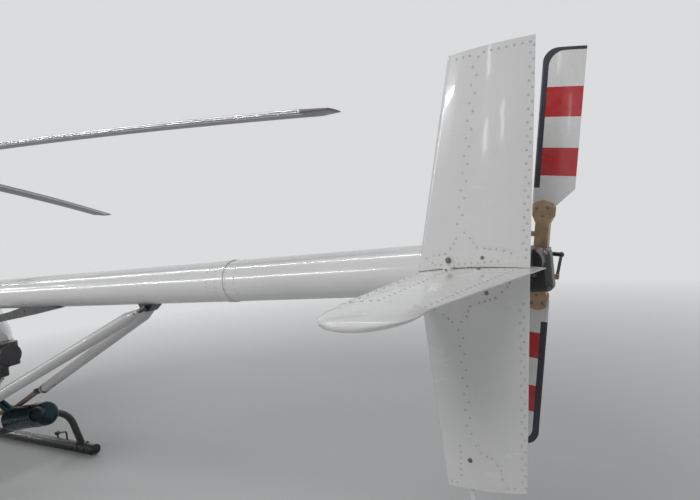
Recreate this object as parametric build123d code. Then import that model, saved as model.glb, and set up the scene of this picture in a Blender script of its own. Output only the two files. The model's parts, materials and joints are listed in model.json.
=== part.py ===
from build123d import *
import os
from math import cos, radians, sin

# Two-seat light helicopter on skids, in millimetres.
# Sizes are measured from the ground point under the rotor mast: +X forward, +Y to port, +Z up.

# The model's origin, seen from that point: the middle of the parked machine's plan box
ORIGIN_X = -1257.0
ORIGIN_Y = 73.1

# Gaps between pieces
DOOR_GAP = 8.0
SEAT_CLEARANCE = 0.3
RUNNING_CLEARANCE = 0.3
TURNING_GAP = 8.0

# Cabin: bubble of rounded cross sections, nose last
# columns: x, half_width, z_low, z_high, corner_radius
CABIN_SECTIONS = (
    (60.0, 500.0, 420.0, 1785.0, 300.0),
    (420.0, 640.0, 405.0, 1790.0, 320.0),
    (820.0, 620.0, 410.0, 1740.0, 320.0),
    (1180.0, 555.0, 440.0, 1560.0, 300.0),
    (1500.0, 400.0, 520.0, 1225.0, 230.0),
    (1680.0, 215.0, 650.0, 975.0, 120.0),
    (1740.0, 110.0, 730.0, 880.0, 60.0),
)
CABIN_WALL = 30.0
LINING_END = 41.0
GLASS_INSET = 8.0
GLASS_THICKNESS = 5.0
WAIST_Z = 860.0
SCREEN_REAR_X = 1240.0
SCREEN_TOP_X = 880.0
SCREEN_SHOULDER = (945.0, 1640.0)
SCREEN_PILLAR_Z = 1265.0
SCREEN_RAIL = 22.0
SCREEN_NOSE_RISE = 45.0
CENTRE_POST_WIDTH = 44.0
CHIN_WINDOW_SIZE = (230.0, 160.0)
CHIN_WINDOW_Y = 205.0
CHIN_WINDOW_Z = 655.0
CHIN_WINDOW_CORNER = 45.0
CHIN_WINDOW_FROM_X = 1300.0

# Doors, hung at their front edge
DOOR_FRONT_X = 1180.0
DOOR_REAR_X = 330.0
DOOR_SILL_Z = 560.0
DOOR_TOP_Z = 1600.0
DOOR_SHOULDER_Z = 1240.0
DOOR_TOP_FRONT_X = 905.0
DOOR_CORNER = 70.0
DOOR_WINDOW_MARGIN = 75.0
DOOR_WINDOW_SILL_Z = 900.0
HINGE_Y = 562.0
HINGE_HEIGHTS = (700.0, 1140.0)
HINGE_BARREL_RADIUS = 10.0
HINGE_BARREL_LENGTH = 40.0
HINGE_PIN_RADIUS = 5.0
HINGE_LEAF_LENGTH = 62.0
HINGE_LEAF_DEPTH = 20.0
HINGE_RELIEF = 6.0

# Cabin inside
FLOOR_Z = 520.0
FLOOR_THICKNESS = 20.0
FIREWALL_THICKNESS = 20.0
SEAT_BASE_HALF_WIDTH = 470.0
SEAT_BASE_REAR_X = 120.0
SEAT_BASE_FRONT_X = 760.0
SEAT_BASE_REAR_Z = 796.0
SEAT_BASE_FRONT_Z = 760.0
SEAT_Y = 262.0
SEAT_WIDTH = 430.0
SEAT_CUSHION = 85.0
SEAT_BACK_TOP = (125.0, 1480.0)
SEAT_BACK_THICKNESS = 90.0
CONSOLE_HALF_WIDTH = 110.0
STICK_X = 890.0
STICK_RADIUS = 13.0
GRIP_RADIUS = 20.0
PEDAL_X = 1260.0
PEDAL_SPREAD = 75.0
LAMP_RADIUS = 52.0
LAMP_Z = 805.0
LAMP_X_REAR = 1715.0
LAMP_X_FRONT = 1750.0

# Engine bay
ENGINE_SIZE = (420.0, 500.0, 330.0)
ENGINE_CENTRE = (-235.0, 0.0, 910.0)
FRAME_TUBE_RADIUS = 16.0
FRAME_BALL = 1.1
COLLAR_RADIUS = 92.0
COLLAR_LENGTH = 40.0
COLLAR_LEG_RADIUS = 12.0
COWLING_WALL = 12.0
# columns: x, half_width, z_low, z_high, corner_radius
COWLING_SECTIONS = (
    (59.7, 494.0, 430.0, 1779.0, 294.0),
    (-300.0, 408.0, 620.0, 1385.0, 250.0),
    (-600.0, 290.0, 760.0, 1250.0, 200.0),
    (-850.0, 168.0, 880.0, 1195.0, 130.0),
    (-985.0, 80.0, 940.0, 1120.0, 70.0),
)
# (x, z) points of the open lower edge, front to rear
COWLING_LIP = ((110.0, 590.0), (-350.0, 690.0), (-560.0, 985.0), (-1060.0, 1056.0))
# columns: z, x_centre, length, width, corner_radius
FAIRING_SECTIONS = (
    (1240.0, -190.0, 520.0, 400.0, 190.0),
    (1500.0, -130.0, 480.0, 360.0, 170.0),
    (1700.0, -60.0, 440.0, 310.0, 150.0),
    (1900.0, 0.0, 300.0, 240.0, 115.0),
)
FAIRING_WALL = 10.0
DUCT_SIZE = (215.0, 150.0, 135.0)
DUCT_CENTRE = (-1013.0, 0.0, 993.0)
DUCT_CORNER = 45.0
DUCT_CAP_RADIUS = 60.0
DUCT_CAP_LENGTH = 22.0
MUFFLER_RADIUS = 75.0
MUFFLER_LENGTH = 500.0
MUFFLER_REAR = (-990.0, -250.0, 547.0)
MUFFLER_TILT = 10.0
MUFFLER_SHOULDER = 42.0
EXHAUST_RADIUS = 27.0
# The outlet: a short stub from the can's rear end to port
OUTLET_RADIUS = 44.0
OUTLET_BORE = 38.0
OUTLET_FROM = (-925.0, -250.0, 550.0)
OUTLET_TO = (-978.0, -166.0, 562.0)
OUTLET_DEPTH = 0.45

# Mast and main rotor
HUB_Z = 2260.0
ROTOR_RADIUS = 3420.0
ROTOR_AZIMUTHS = (182.35, 62.35, -57.65)
BLADE_CHORD = 170.0
BLADE_THICKNESS = 21.0
BLADE_ROOT_SLOPE = 4.0
BLADE_TIP_SAG = 85.0
FLAP_RADIUS = 215.0
FLAP_BARREL_RADIUS = 30.0
MAST_RADIUS = 28.0
MAST_HOUSING_TOP = 2010.0
MAST_HOUSING_RADII = (52.0, 44.0)
GEARBOX_TOP_Z = 1500.0
GEARBOX_BOX = (-150.0, 30.0, 110.0, 1310.0)
FAIRING_HOLE_RADIUS = 95.0
MAST_HOLE_RADIUS = 90.0
SWASH_RADIUS = 112.0
SWASH_THICKNESS = 22.0
SWASH_Z = 1950.0
SWASH_ROD_REACH = 78.0

# Tail boom and its struts
BOOM_RADIUS = 82.5
BOOM_WALL = 3.0
BOOM_Z = 1346.0
BOOM_FRONT_X = -300.0
BOOM_JOINT_X = -2930.0
BOOM_REAR_X = -4050.0
BOOM_BAND_WIDTH = 34.0
# The arm under the boom: (x, z) points from its tip along the lower edge and back along the upper one
SADDLE_OUTLINE = (
    (-1756.0, 1264.0), (-1376.0, 1216.0), (-1128.0, 1190.0), (-900.0, 1165.0),
    (-900.0, 1212.0), (-1026.0, 1218.0), (-1272.0, 1249.0), (-1500.0, 1290.0),
)
SADDLE_HALF_WIDTH = 40.0
STRUT_RADIUS = 28.0
STRUT_WALL = 2.0
STRUT_TOP = (-2395.0, 36.0, 1246.0)
STRUT_FOOT = (-1045.0, 200.0, 718.0)
STRUT_NECK = 110.0
STRUT_START = 12.0
CLEVIS_WIDTH = 36.0
CLEVIS_SLOT = 12.0
CLEVIS_DISC_RADIUS = 25.0
CLEVIS_DISC = 7.0
CLEVIS_PIN_RADIUS = 7.0
CLEVIS_PIN_SHARE = 0.55
HANGER_HALF_WIDTH = 24.0
# (x, z) points of the bracket under the boom, from the struts' pin
HANGER_OUTLINE = ((-75.0, 22.0), (45.0, 22.0), (28.0, -14.0), (-22.0, -14.0))

# Fin and stabiliser, both carried on the boom's port side
FIN_Y = 83.6
FIN_THICKNESS = 62.0
# columns: z, leading_edge_x, trailing_edge_x
FIN_SECTIONS = (
    (1960.0, -3963.0, -4204.0),
    (1346.0, -3796.0, -4130.0),
    (698.0, -3819.0, -4059.0),
)
STABILISER_Z = 1342.0
STABILISER_THICKNESS = 40.0
# columns: y, leading_edge_x, trailing_edge_x
STABILISER_SECTIONS = (
    (FIN_Y, -3790.0, -4165.0),
    (430.0, -3816.0, -4098.0),
    (660.0, -3836.0, -4056.0),
)
STABILISER_TIP_Y = 743.0
GUARD_RADIUS = 9.0
GUARD_X = -3890.0
GUARD_DROP = 220.0
GUARD_REACH = 500.0

# Tail rotor on the starboard side
TAIL_HUB = (-4096.0, -177.0, 1352.0)
TAIL_ROTOR_RADIUS = 640.0
TAIL_BLADE_LEAN = 9.7
TAIL_CHORD = 125.0
TAIL_THICKNESS = 16.0
TAIL_BLADE_ROOT = 145.0
TAIL_ROOT_SLANT = 70.0
TAIL_TIP_CORNER = 45.0
TAIL_LEADING_OFFSET = 38.0
TAIL_STRIP_FROM = 215.0
TAIL_STRIP_WIDTH = 20.0
TAIL_TIP_STRIP = 10.0
TAIL_SHAFT_RADIUS = 14.0
TAIL_HUB_SIZE = (52.0, 52.0, 54.0)
TAIL_HUB_DRUM = (30.0, 70.0)
# The fork's shank, its fan-shaped end and the slot for the blade's root
FORK_HALF_WIDTH = 21.0
FORK_FAN_HALF_WIDTH = 32.5
FORK_NECK = 104.0
FORK_FAN_FROM = 128.0
FORK_END = 176.0
FORK_THICKNESS = 34.0
FORK_SLOT = 22.0
FORK_SLOT_FROM = 122.0
# Pitch change: a rod through the hub's outer face, a crossbar and two links to the forks' horns
PITCH_ROD_RADIUS = 9.0
PITCH_BAR_Y = -62.0
PITCH_BAR_REACH = 52.0
PITCH_BAR_RADIUS = 7.0
PITCH_HORN_Z = 66.0
PITCH_LINK_RADIUS = 5.0
# Tail gearbox: a rounded block on the boom's end, beside the rotor
GEARBOX_SIZE = (104.0, 66.0, 132.0)
GEARBOX_DROP = 36.0
GEARBOX_CORNER = 20.0

# Skid gear
SKID_Y = 775.0
SKID_RADIUS = 34.0
SKID_REAR_X = -580.0
SKID_FRONT_X = 1480.0
SKID_TOE_RISE = 260.0
SKID_TOE_REACH = 260.0
SHOE_THICKNESS = 8.0
SHOE_WIDTH = 50.0
CROSS_TUBE_RADIUS = 25.0
CROSS_TUBE_Z = 378.0
CROSS_TUBE_X = {"cross_tube_rear": -415.0, "cross_tube_front": 1010.0}
CROSS_KNEE_Y = 690.0
CROSS_BEND = 180.0
# Ground-wheel staple on each skid: (x, z) of its two corners, and the boss on the front one
STAPLE_CORNERS = ((-90.0, 114.0), (-215.0, 139.0))
STAPLE_RADIUS = 7.0
STAPLE_BEND = 12.0
WHEEL_BOSS_RADIUS = 15.0
WHEEL_BOSS_LENGTH = 30.0
WHEEL_BORE_RADIUS = 8.0
POST_RADIUS = 18.0
POST_COPE = 6.0
POST_Y_FRONT = 240.0
POST_Y_REAR = 330.0

# Blade grips, measured out from the flapping pin
GRIP_BLOCK_END = 95.0
GRIP_PLATE_END = 270.0
GRIP_GAP = 26.0
GRIP_PLATE = 14.0
GRIP_WIDTH = 104.0
HORN_REACH = 120.0


# General shapes

def point(values):
    return Vector(*values)


def tube(start, end, radius, wall=0.0):
    """Round bar or tube between two points."""
    start, end = point(start), point(end)
    plane = Plane(origin=start, z_dir=end - start)
    section = plane * Circle(radius)
    if wall:
        section = plane * (Circle(radius) - Circle(radius - wall))
    return extrude(section, (end - start).length)


def bent_tube(points, bend_radius, radius):
    """Round bar along straight runs joined by tangent arcs."""
    path = FilletPolyline(*points, radius=bend_radius)
    section = Plane(origin=path @ 0, z_dir=path % 0) * Circle(radius)
    return sweep(section, path=path)


def joined(shapes):
    """One shape from several that touch."""
    whole = shapes[0]
    for shape in shapes[1:]:
        whole = whole + shape
    return whole


def apart(shapes):
    """Separate solids that share one node."""
    solids = []
    for shape in shapes:
        solids.extend(shape.solids())
    return Compound(children=solids)


def between(start, end, x):
    """The place on a straight line between two points where it passes x."""
    share = (x - start[0]) / (end[0] - start[0])
    return tuple(a + share * (b - a) for a, b in zip(start, end))


def side_outline(points, corner=0.0):
    """Flat outline in side view, from (x, z) points, with its corners rounded."""
    wire = Polyline(*[(x, 0.0, z) for x, z in points], close=True)
    face = make_face(wire.edges())
    return fillet(face.vertices(), corner) if corner else face


def side_prism(outline, y_from, y_to):
    """Solid that a side-view outline sweeps from one y to another."""
    return extrude(outline.moved(Location((0.0, y_from, 0.0))), y_to - y_from, dir=(0.0, 1.0, 0.0))


def mirrored(shape):
    """The same piece on the other side."""
    return mirror(shape, about=Plane.XZ)


def body_section(x, half_width, z_low, z_high, corner):
    plane = Plane(origin=(x, 0.0, (z_low + z_high) / 2), x_dir=(0.0, 1.0, 0.0), z_dir=(1.0, 0.0, 0.0))
    return plane * RectangleRounded(2 * half_width, z_high - z_low, corner)


def body_loft(table, inset, end_inset):
    """Smooth hull through a table of sections, moved in from its skin by an inset."""
    sections = []
    for row, (x, half_width, z_low, z_high, corner) in enumerate(table):
        shift = end_inset if row == len(table) - 1 else 0.0
        sections.append(body_section(x - shift, half_width - inset, z_low + inset, z_high - inset,
                                     corner - inset))
    return loft(sections)


def airfoil(chord, thickness, edge=3.0):
    """Symmetric wing section: nose at x = 0, tail at x = chord, thickness along y."""
    nose_x = 0.35 * thickness
    nose_y = 0.37 * thickness
    crest = 0.30 * chord
    outline = [
        ThreePointArc((nose_x, -nose_y), (0.0, 0.0), (nose_x, nose_y)),
        ThreePointArc((nose_x, nose_y), (crest, thickness / 2), (chord, edge / 2)),
        Line((chord, edge / 2), (chord, -edge / 2)),
        ThreePointArc((chord, -edge / 2), (crest, -thickness / 2), (nose_x, -nose_y)),
    ]
    return make_face(outline)


# Cabin

def windscreen_outline():
    return side_outline([
        (1900.0, WAIST_Z + SCREEN_NOSE_RISE), (SCREEN_REAR_X, WAIST_Z + SCREEN_RAIL),
        (SCREEN_REAR_X, SCREEN_PILLAR_Z),
        SCREEN_SHOULDER, (SCREEN_TOP_X, 1900.0), (1900.0, 1900.0),
    ])


def door_outline():
    return side_outline([
        (DOOR_REAR_X, DOOR_SILL_Z), (DOOR_FRONT_X, DOOR_SILL_Z), (DOOR_FRONT_X, DOOR_SHOULDER_Z),
        (DOOR_TOP_FRONT_X, DOOR_TOP_Z), (DOOR_REAR_X, DOOR_TOP_Z),
    ], DOOR_CORNER)


def door_window_outline():
    low, high = DOOR_WINDOW_SILL_Z, DOOR_TOP_Z - DOOR_WINDOW_MARGIN
    rear, front = DOOR_REAR_X + DOOR_WINDOW_MARGIN, DOOR_FRONT_X - DOOR_WINDOW_MARGIN
    return side_outline([
        (rear, low), (front, low), (front, DOOR_SHOULDER_Z - DOOR_WINDOW_MARGIN / 3),
        (DOOR_TOP_FRONT_X - DOOR_WINDOW_MARGIN / 2, high), (rear, high),
    ], DOOR_CORNER - 10.0)


def chin_window_cut(side):
    plane = Plane(origin=(CHIN_WINDOW_FROM_X, side * CHIN_WINDOW_Y, CHIN_WINDOW_Z),
                  x_dir=(0.0, 1.0, 0.0), z_dir=(1.0, 0.0, 0.0))
    return extrude(plane * RectangleRounded(*CHIN_WINDOW_SIZE, CHIN_WINDOW_CORNER), 600.0)


def slab(z_from, z_to, x_from=-200.0, x_to=2000.0):
    return Pos((x_from + x_to) / 2, 0.0, (z_from + z_to) / 2) * Box(x_to - x_from, 1600.0, z_to - z_from)


def hinge_cylinder(radius, z_low, z_high):
    return tube((DOOR_FRONT_X + DOOR_GAP / 2, HINGE_Y, z_low), (DOOR_FRONT_X + DOOR_GAP / 2, HINGE_Y, z_high),
                radius)


def hinge_leaf(z_low, z_high, forward):
    """Plate from a hinge barrel into the panel beside it."""
    pin_x = DOOR_FRONT_X + DOOR_GAP / 2
    x_near = pin_x + (2.0 if forward else -2.0)
    x_far = pin_x + (HINGE_LEAF_LENGTH if forward else -HINGE_LEAF_LENGTH)
    return (Pos((x_near + x_far) / 2, HINGE_Y - HINGE_LEAF_DEPTH / 2 + 2.0, (z_low + z_high) / 2)
            * Box(abs(x_far - x_near), HINGE_LEAF_DEPTH, z_high - z_low))


def door_hinge_half():
    """Middle barrels on the door, bored for the pins."""
    pieces = []
    for z in HINGE_HEIGHTS:
        low, high = z - HINGE_BARREL_LENGTH / 2, z + HINGE_BARREL_LENGTH / 2
        barrel = hinge_cylinder(HINGE_BARREL_RADIUS, low, high) + hinge_leaf(low, high, False)
        pieces.append(barrel - hinge_cylinder(HINGE_PIN_RADIUS + RUNNING_CLEARANCE, low - 1, high + 1))
    return pieces


def frame_hinge_half(z):
    """Two outer barrels on the pillar, with the pin through them."""
    middle = HINGE_BARREL_LENGTH / 2
    outer = middle + HINGE_BARREL_LENGTH / 2
    pieces = [hinge_cylinder(HINGE_PIN_RADIUS, z - outer, z + outer)]
    for low, high in ((z - outer, z - middle - 1.0), (z + middle + 1.0, z + outer)):
        pieces.append(hinge_cylinder(HINGE_BARREL_RADIUS, low, high))
        pieces.append(hinge_leaf(low, high, True))
    return joined(pieces)


def cabin_parts():
    outer = body_loft(CABIN_SECTIONS, 0.0, 0.0)
    inner = body_loft(CABIN_SECTIONS, CABIN_WALL, LINING_END - 1.0)
    glass_outer = body_loft(CABIN_SECTIONS, GLASS_INSET, 9.0)
    glass_inner = body_loft(CABIN_SECTIONS, GLASS_INSET + GLASS_THICKNESS, 15.0)
    lining = body_loft(CABIN_SECTIONS, CABIN_WALL + SEAT_CLEARANCE, LINING_END)
    shell = outer - inner
    glass = glass_outer - glass_inner

    screen = side_prism(windscreen_outline(), -800.0, 800.0)
    screen = screen - Pos(1200.0, 0.0, 1300.0) * Box(1600.0, CENTRE_POST_WIDTH, 1400.0)
    door_cut = side_prism(door_outline(), 100.0, 800.0)
    opening = side_prism(offset(door_outline(), DOOR_GAP), 100.0, 800.0)
    window_cut = side_prism(door_window_outline(), 100.0, 800.0)
    chin_cuts = [chin_window_cut(side) for side in (1, -1)]
    lamp = tube((LAMP_X_REAR, 0.0, LAMP_Z), (LAMP_X_FRONT, 0.0, LAMP_Z), LAMP_RADIUS)
    lamp_hole = tube((LAMP_X_REAR - 40.0, 0.0, LAMP_Z), (LAMP_X_FRONT, 0.0, LAMP_Z), LAMP_RADIUS)

    relief = joined([hinge_cylinder(HINGE_BARREL_RADIUS + HINGE_RELIEF, z - HINGE_BARREL_LENGTH - HINGE_RELIEF,
                                    z + HINGE_BARREL_LENGTH + HINGE_RELIEF) for z in HINGE_HEIGHTS])
    body = shell - opening - mirrored(opening) - relief - mirrored(relief)
    hinges = {z: frame_hinge_half(z) for z in HINGE_HEIGHTS}
    tub = (body & slab(300.0, WAIST_Z)) - chin_cuts[0] - chin_cuts[1] - lamp_hole
    roof = (body & slab(WAIST_Z, 1900.0)) - screen
    for z, hinge in hinges.items():
        if z < WAIST_Z:
            tub = tub + hinge + mirrored(hinge)
        else:
            roof = roof + hinge + mirrored(hinge)
    roof = roof - tube((0.0, 0.0, 1600.0), (0.0, 0.0, 2000.0), MAST_HOLE_RADIUS)

    door = joined([(shell & door_cut) - window_cut - relief] + door_hinge_half())
    door = door - joined([hinge_cylinder(HINGE_PIN_RADIUS + RUNNING_CLEARANCE, z - 60.0, z + 60.0)
                          for z in HINGE_HEIGHTS])
    window = glass & window_cut

    floor_slab = slab(FLOOR_Z - FLOOR_THICKNESS, FLOOR_Z, CABIN_SECTIONS[0][0] + FIREWALL_THICKNESS, 1700.0)
    floor = lining & floor_slab
    wall_slab = slab(300.0, 1900.0, CABIN_SECTIONS[0][0], CABIN_SECTIONS[0][0] + FIREWALL_THICKNESS)
    return {
        "cabin_tub": tub,
        "cabin_roof": roof,
        "windscreen": apart([glass & screen]),
        "chin_windows": apart([glass & cut for cut in chin_cuts]),
        "landing_lamp": lamp,
        "cabin_floor": floor,
        "firewall": lining & wall_slab,
        "door_left": door,
        "door_window_left": window,
        "door_right": mirrored(door),
        "door_window_right": mirrored(window),
    }


def seat_base_top(x):
    share = (x - SEAT_BASE_REAR_X) / (SEAT_BASE_FRONT_X - SEAT_BASE_REAR_X)
    return SEAT_BASE_REAR_Z + share * (SEAT_BASE_FRONT_Z - SEAT_BASE_REAR_Z)


def seat_base():
    outline = side_outline([
        (SEAT_BASE_REAR_X, FLOOR_Z), (SEAT_BASE_FRONT_X - 60.0, FLOOR_Z),
        (SEAT_BASE_FRONT_X, SEAT_BASE_FRONT_Z), (SEAT_BASE_REAR_X, SEAT_BASE_REAR_Z),
    ])
    lining = body_loft(CABIN_SECTIONS, CABIN_WALL + SEAT_CLEARANCE, LINING_END)
    return side_prism(outline, -SEAT_BASE_HALF_WIDTH, SEAT_BASE_HALF_WIDTH) & lining


def seat():
    """Cushion and back in one, on the port side."""
    rear, front = SEAT_BASE_REAR_X + 90.0, SEAT_BASE_FRONT_X + 8.0
    top_x, top_z = SEAT_BACK_TOP
    outline = side_outline([
        (rear, seat_base_top(rear) + SEAT_CLEARANCE), (front, seat_base_top(front) + SEAT_CLEARANCE),
        (front + 4.0, seat_base_top(front) + SEAT_CUSHION),
        (rear + SEAT_BACK_THICKNESS + 50.0, seat_base_top(rear) + SEAT_CUSHION + 15.0),
        (top_x + SEAT_BACK_THICKNESS, top_z + 8.0), (top_x, top_z),
    ], 22.0)
    return side_prism(outline, SEAT_Y - SEAT_WIDTH / 2, SEAT_Y + SEAT_WIDTH / 2)


def console():
    outline = side_outline([
        (1180.0, FLOOR_Z), (1400.0, FLOOR_Z), (1385.0, 720.0), (1260.0, 1010.0), (1135.0, 1040.0),
        (1120.0, 960.0),
    ])
    return side_prism(outline, -CONSOLE_HALF_WIDTH, CONSOLE_HALF_WIDTH)


def flight_controls():
    pieces = []
    for y in (SEAT_Y, -SEAT_Y):
        stick = bent_tube([(STICK_X, y, FLOOR_Z), (STICK_X + 30.0, y, 690.0), (STICK_X - 20.0, y, 880.0)],
                          60.0, STICK_RADIUS)
        grip = tube((STICK_X - 14.0, y, 858.0), (STICK_X - 46.0, y, 980.0), GRIP_RADIUS)
        pieces.append(stick + grip)
        for pedal_y in (y - PEDAL_SPREAD, y + PEDAL_SPREAD):
            arm = tube((PEDAL_X, pedal_y, FLOOR_Z), (PEDAL_X, pedal_y, 650.0), 9.0)
            pad = Pos(PEDAL_X, pedal_y, 680.0) * Rot(0.0, -20.0, 0.0) * Box(14.0, 80.0, 90.0)
            pieces.append(arm + pad)
    lever_foot_z = seat_base_top(430.0)
    pieces.append(tube((430.0, 0.0, lever_foot_z - 4.0), (700.0, 0.0, 950.0), 14.0) - seat_base())
    under_floor = slab(FLOOR_Z - 100.0, FLOOR_Z)
    return apart([piece - under_floor for piece in pieces])


# Engine bay

def engine_block():
    return Pos(*ENGINE_CENTRE) * Box(*ENGINE_SIZE)


def frame_stations():
    """Joints of the welded frame on the port side, front to rear."""
    foot_x, foot_y, foot_z = STRUT_FOOT
    front_x = CABIN_SECTIONS[0][0] - FRAME_BALL * FRAME_TUBE_RADIUS
    low_front, low_middle = (front_x, 330.0, 520.0), (CROSS_TUBE_X["cross_tube_rear"], POST_Y_REAR, 504.0)
    engine_x, _, engine_z = ENGINE_CENTRE
    bearer_z = engine_z - ENGINE_SIZE[2] / 2 - FRAME_BALL * FRAME_TUBE_RADIUS - SEAT_CLEARANCE
    return {
        "low_front": low_front,
        "low_engine": between(low_front, low_middle, engine_x),
        "low_middle": low_middle,
        "low_post": (low_middle[0], 150.0, low_middle[2]),
        "bearer": (engine_x, ENGINE_SIZE[1] / 2 - 50.0, bearer_z),
        "low_rear": (foot_x + 70.0, foot_y, foot_z - 18.0),
        "high_front": (front_x, 400.0, 1330.0),
        "high_mast": (-130.0, 330.0, 1312.0),
        "high_middle": (-620.0, 98.0, 1204.0),
        "high_rear": (-850.0, 40.0, 1150.0),
    }


FRAME_MEMBERS = (
    ("low_front", "low_middle"), ("low_middle", "low_rear"),
    ("high_front", "high_mast"), ("high_mast", "high_middle"), ("high_middle", "high_rear"),
    ("low_post", "high_middle"), ("low_engine", "bearer"),
)
FRAME_CROSS_TUBES = ("bearer", "low_middle", "high_front", "high_mast", "high_middle", "high_rear")


def rear_frame():
    """Welded tubes, with a collar on two legs around the boom's front end."""
    stations = frame_stations()
    side = joined([tube(stations[a], stations[b], FRAME_TUBE_RADIUS) for a, b in FRAME_MEMBERS]
                  + [Pos(*place) * Sphere(FRAME_TUBE_RADIUS * FRAME_BALL) for place in stations.values()])
    collar_x = BOOM_FRONT_X - COLLAR_LENGTH / 2
    leg_start = between(stations["high_mast"], stations["high_middle"], collar_x)
    leg = tube(leg_start, (collar_x, 0.0, BOOM_Z), COLLAR_LEG_RADIUS)
    frame = side + mirrored(side) + leg + mirrored(leg)
    for name in FRAME_CROSS_TUBES:
        x, y, z = stations[name]
        frame = frame + tube((x, -y, z), (x, y, z), FRAME_TUBE_RADIUS)
    collar = tube((BOOM_FRONT_X, 0.0, BOOM_Z), (BOOM_FRONT_X - COLLAR_LENGTH, 0.0, BOOM_Z), COLLAR_RADIUS)
    boom_space = tube((0.0, 0.0, BOOM_Z), (BOOM_REAR_X, 0.0, BOOM_Z), BOOM_RADIUS)
    return frame + collar - boom_space


def cowling():
    outer = body_loft(COWLING_SECTIONS, 0.0, 0.0)
    inner = body_loft(COWLING_SECTIONS, COWLING_WALL, -COWLING_WALL)
    (x_front, _), (x_rear, _) = COWLING_LIP[0], COWLING_LIP[-1]
    below = side_prism(side_outline([(x_front, 200.0)] + list(COWLING_LIP) + [(x_rear, 200.0)]), -900.0, 900.0)
    boom_hole = tube((0.0, 0.0, BOOM_Z), (-2000.0, 0.0, BOOM_Z), BOOM_RADIUS + SEAT_CLEARANCE)
    collar_hole = tube((0.0, 0.0, BOOM_Z), (BOOM_FRONT_X - COLLAR_LENGTH - SEAT_CLEARANCE, 0.0, BOOM_Z),
                       COLLAR_RADIUS + SEAT_CLEARANCE)
    mast_hole = tube((0.0, 0.0, 1400.0), (0.0, 0.0, 2000.0), MAST_HOLE_RADIUS)
    return outer - inner - below - boom_hole - collar_hole - mast_hole


def fairing_hull(inset):
    sections = []
    for z, x_centre, length, width, corner in FAIRING_SECTIONS:
        plane = Plane(origin=(x_centre, 0.0, z - inset))
        sections.append(plane * RectangleRounded(length - 2 * inset, width - 2 * inset, corner - inset))
    return loft(sections)


def mast_fairing():
    """Pylon fairing behind the cabin roof: around the mast's foot above, and the boom's root behind."""
    hole = tube((0.0, 0.0, 1600.0), (0.0, 0.0, 2000.0), FAIRING_HOLE_RADIUS)
    boom_hole = tube((0.0, 0.0, BOOM_Z), (-2000.0, 0.0, BOOM_Z), BOOM_RADIUS + SEAT_CLEARANCE)
    shell = fairing_hull(0.0) - fairing_hull(FAIRING_WALL) - hole - boom_hole
    cabin_x, _, _, cabin_top, _ = CABIN_SECTIONS[0]
    joint = Pos(cabin_x - SEAT_CLEARANCE / 2, 0.0, cabin_top / 2) * Box(2 * SEAT_CLEARANCE, 600.0, cabin_top)
    return shell - body_loft(CABIN_SECTIONS, 0.0, 0.0) - body_loft(COWLING_SECTIONS, 0.0, 0.0) - joint


def exhaust():
    tilt = radians(MUFFLER_TILT)
    rear = point(MUFFLER_REAR)
    along = Vector(cos(tilt), 0.0, -sin(tilt))
    front = rear + along * MUFFLER_LENGTH
    can = tube(rear, front, MUFFLER_RADIUS)
    can = fillet(can.edges().filter_by(GeomType.CIRCLE), MUFFLER_SHOULDER)
    centre = front + along * -120.0
    engine_x, engine_y, engine_z = ENGINE_CENTRE
    port = (engine_x - 60.0, engine_y - ENGINE_SIZE[1] / 2 + 90.0, engine_z - ENGINE_SIZE[2] / 2)
    pipe = tube(centre, port, EXHAUST_RADIUS)
    outlet_start, outlet_end = point(OUTLET_FROM), point(OUTLET_TO)
    outlet = tube(OUTLET_FROM, OUTLET_TO, OUTLET_RADIUS)
    bore = tube(outlet_end + (outlet_start - outlet_end) * OUTLET_DEPTH, outlet_end, OUTLET_BORE)
    return can + pipe + outlet - bore - engine_block()


def cooler_duct():
    x, y, z = DUCT_CENTRE
    box = Pos(x, y, z) * Box(*DUCT_SIZE)
    box = fillet(box.edges().filter_by(Axis.Z), DUCT_CORNER)
    rear = x - DUCT_SIZE[0] / 2
    cap = tube((rear - DUCT_CAP_LENGTH, y, z), (rear + DUCT_CAP_LENGTH, y, z), DUCT_CAP_RADIUS)
    return box + cap - cowling()


# Mast and main rotor

def mast_housing():
    foot, top = MAST_HOUSING_RADII
    profile = make_face(Polyline((0.0, 0.0, GEARBOX_TOP_Z), (foot, 0.0, GEARBOX_TOP_Z),
                                 (top, 0.0, MAST_HOUSING_TOP), (0.0, 0.0, MAST_HOUSING_TOP), close=True).edges())
    housing = revolve(profile, Axis.Z)
    x_rear, x_front, half_width, z_low = GEARBOX_BOX
    gearbox = (Pos((x_rear + x_front) / 2, 0.0, (z_low + GEARBOX_TOP_Z) / 2)
               * Box(x_front - x_rear, 2 * half_width, GEARBOX_TOP_Z - z_low))
    ring = tube((0.0, 0.0, SWASH_Z - SWASH_THICKNESS), (0.0, 0.0, SWASH_Z), SWASH_RADIUS)
    rods = [tube((SWASH_ROD_REACH * cos(radians(a)), SWASH_ROD_REACH * sin(radians(a)), 1840.0),
                 (SWASH_ROD_REACH * cos(radians(a)), SWASH_ROD_REACH * sin(radians(a)), SWASH_Z - 10.0),
                 8.0) for a in (30.0, 150.0, 270.0)]
    whole = joined([housing, gearbox - rear_frame(), ring] + rods)
    bore = tube((0.0, 0.0, 1800.0), (0.0, 0.0, MAST_HOUSING_TOP + 1.0), MAST_RADIUS + RUNNING_CLEARANCE)
    return whole - bore


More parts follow.
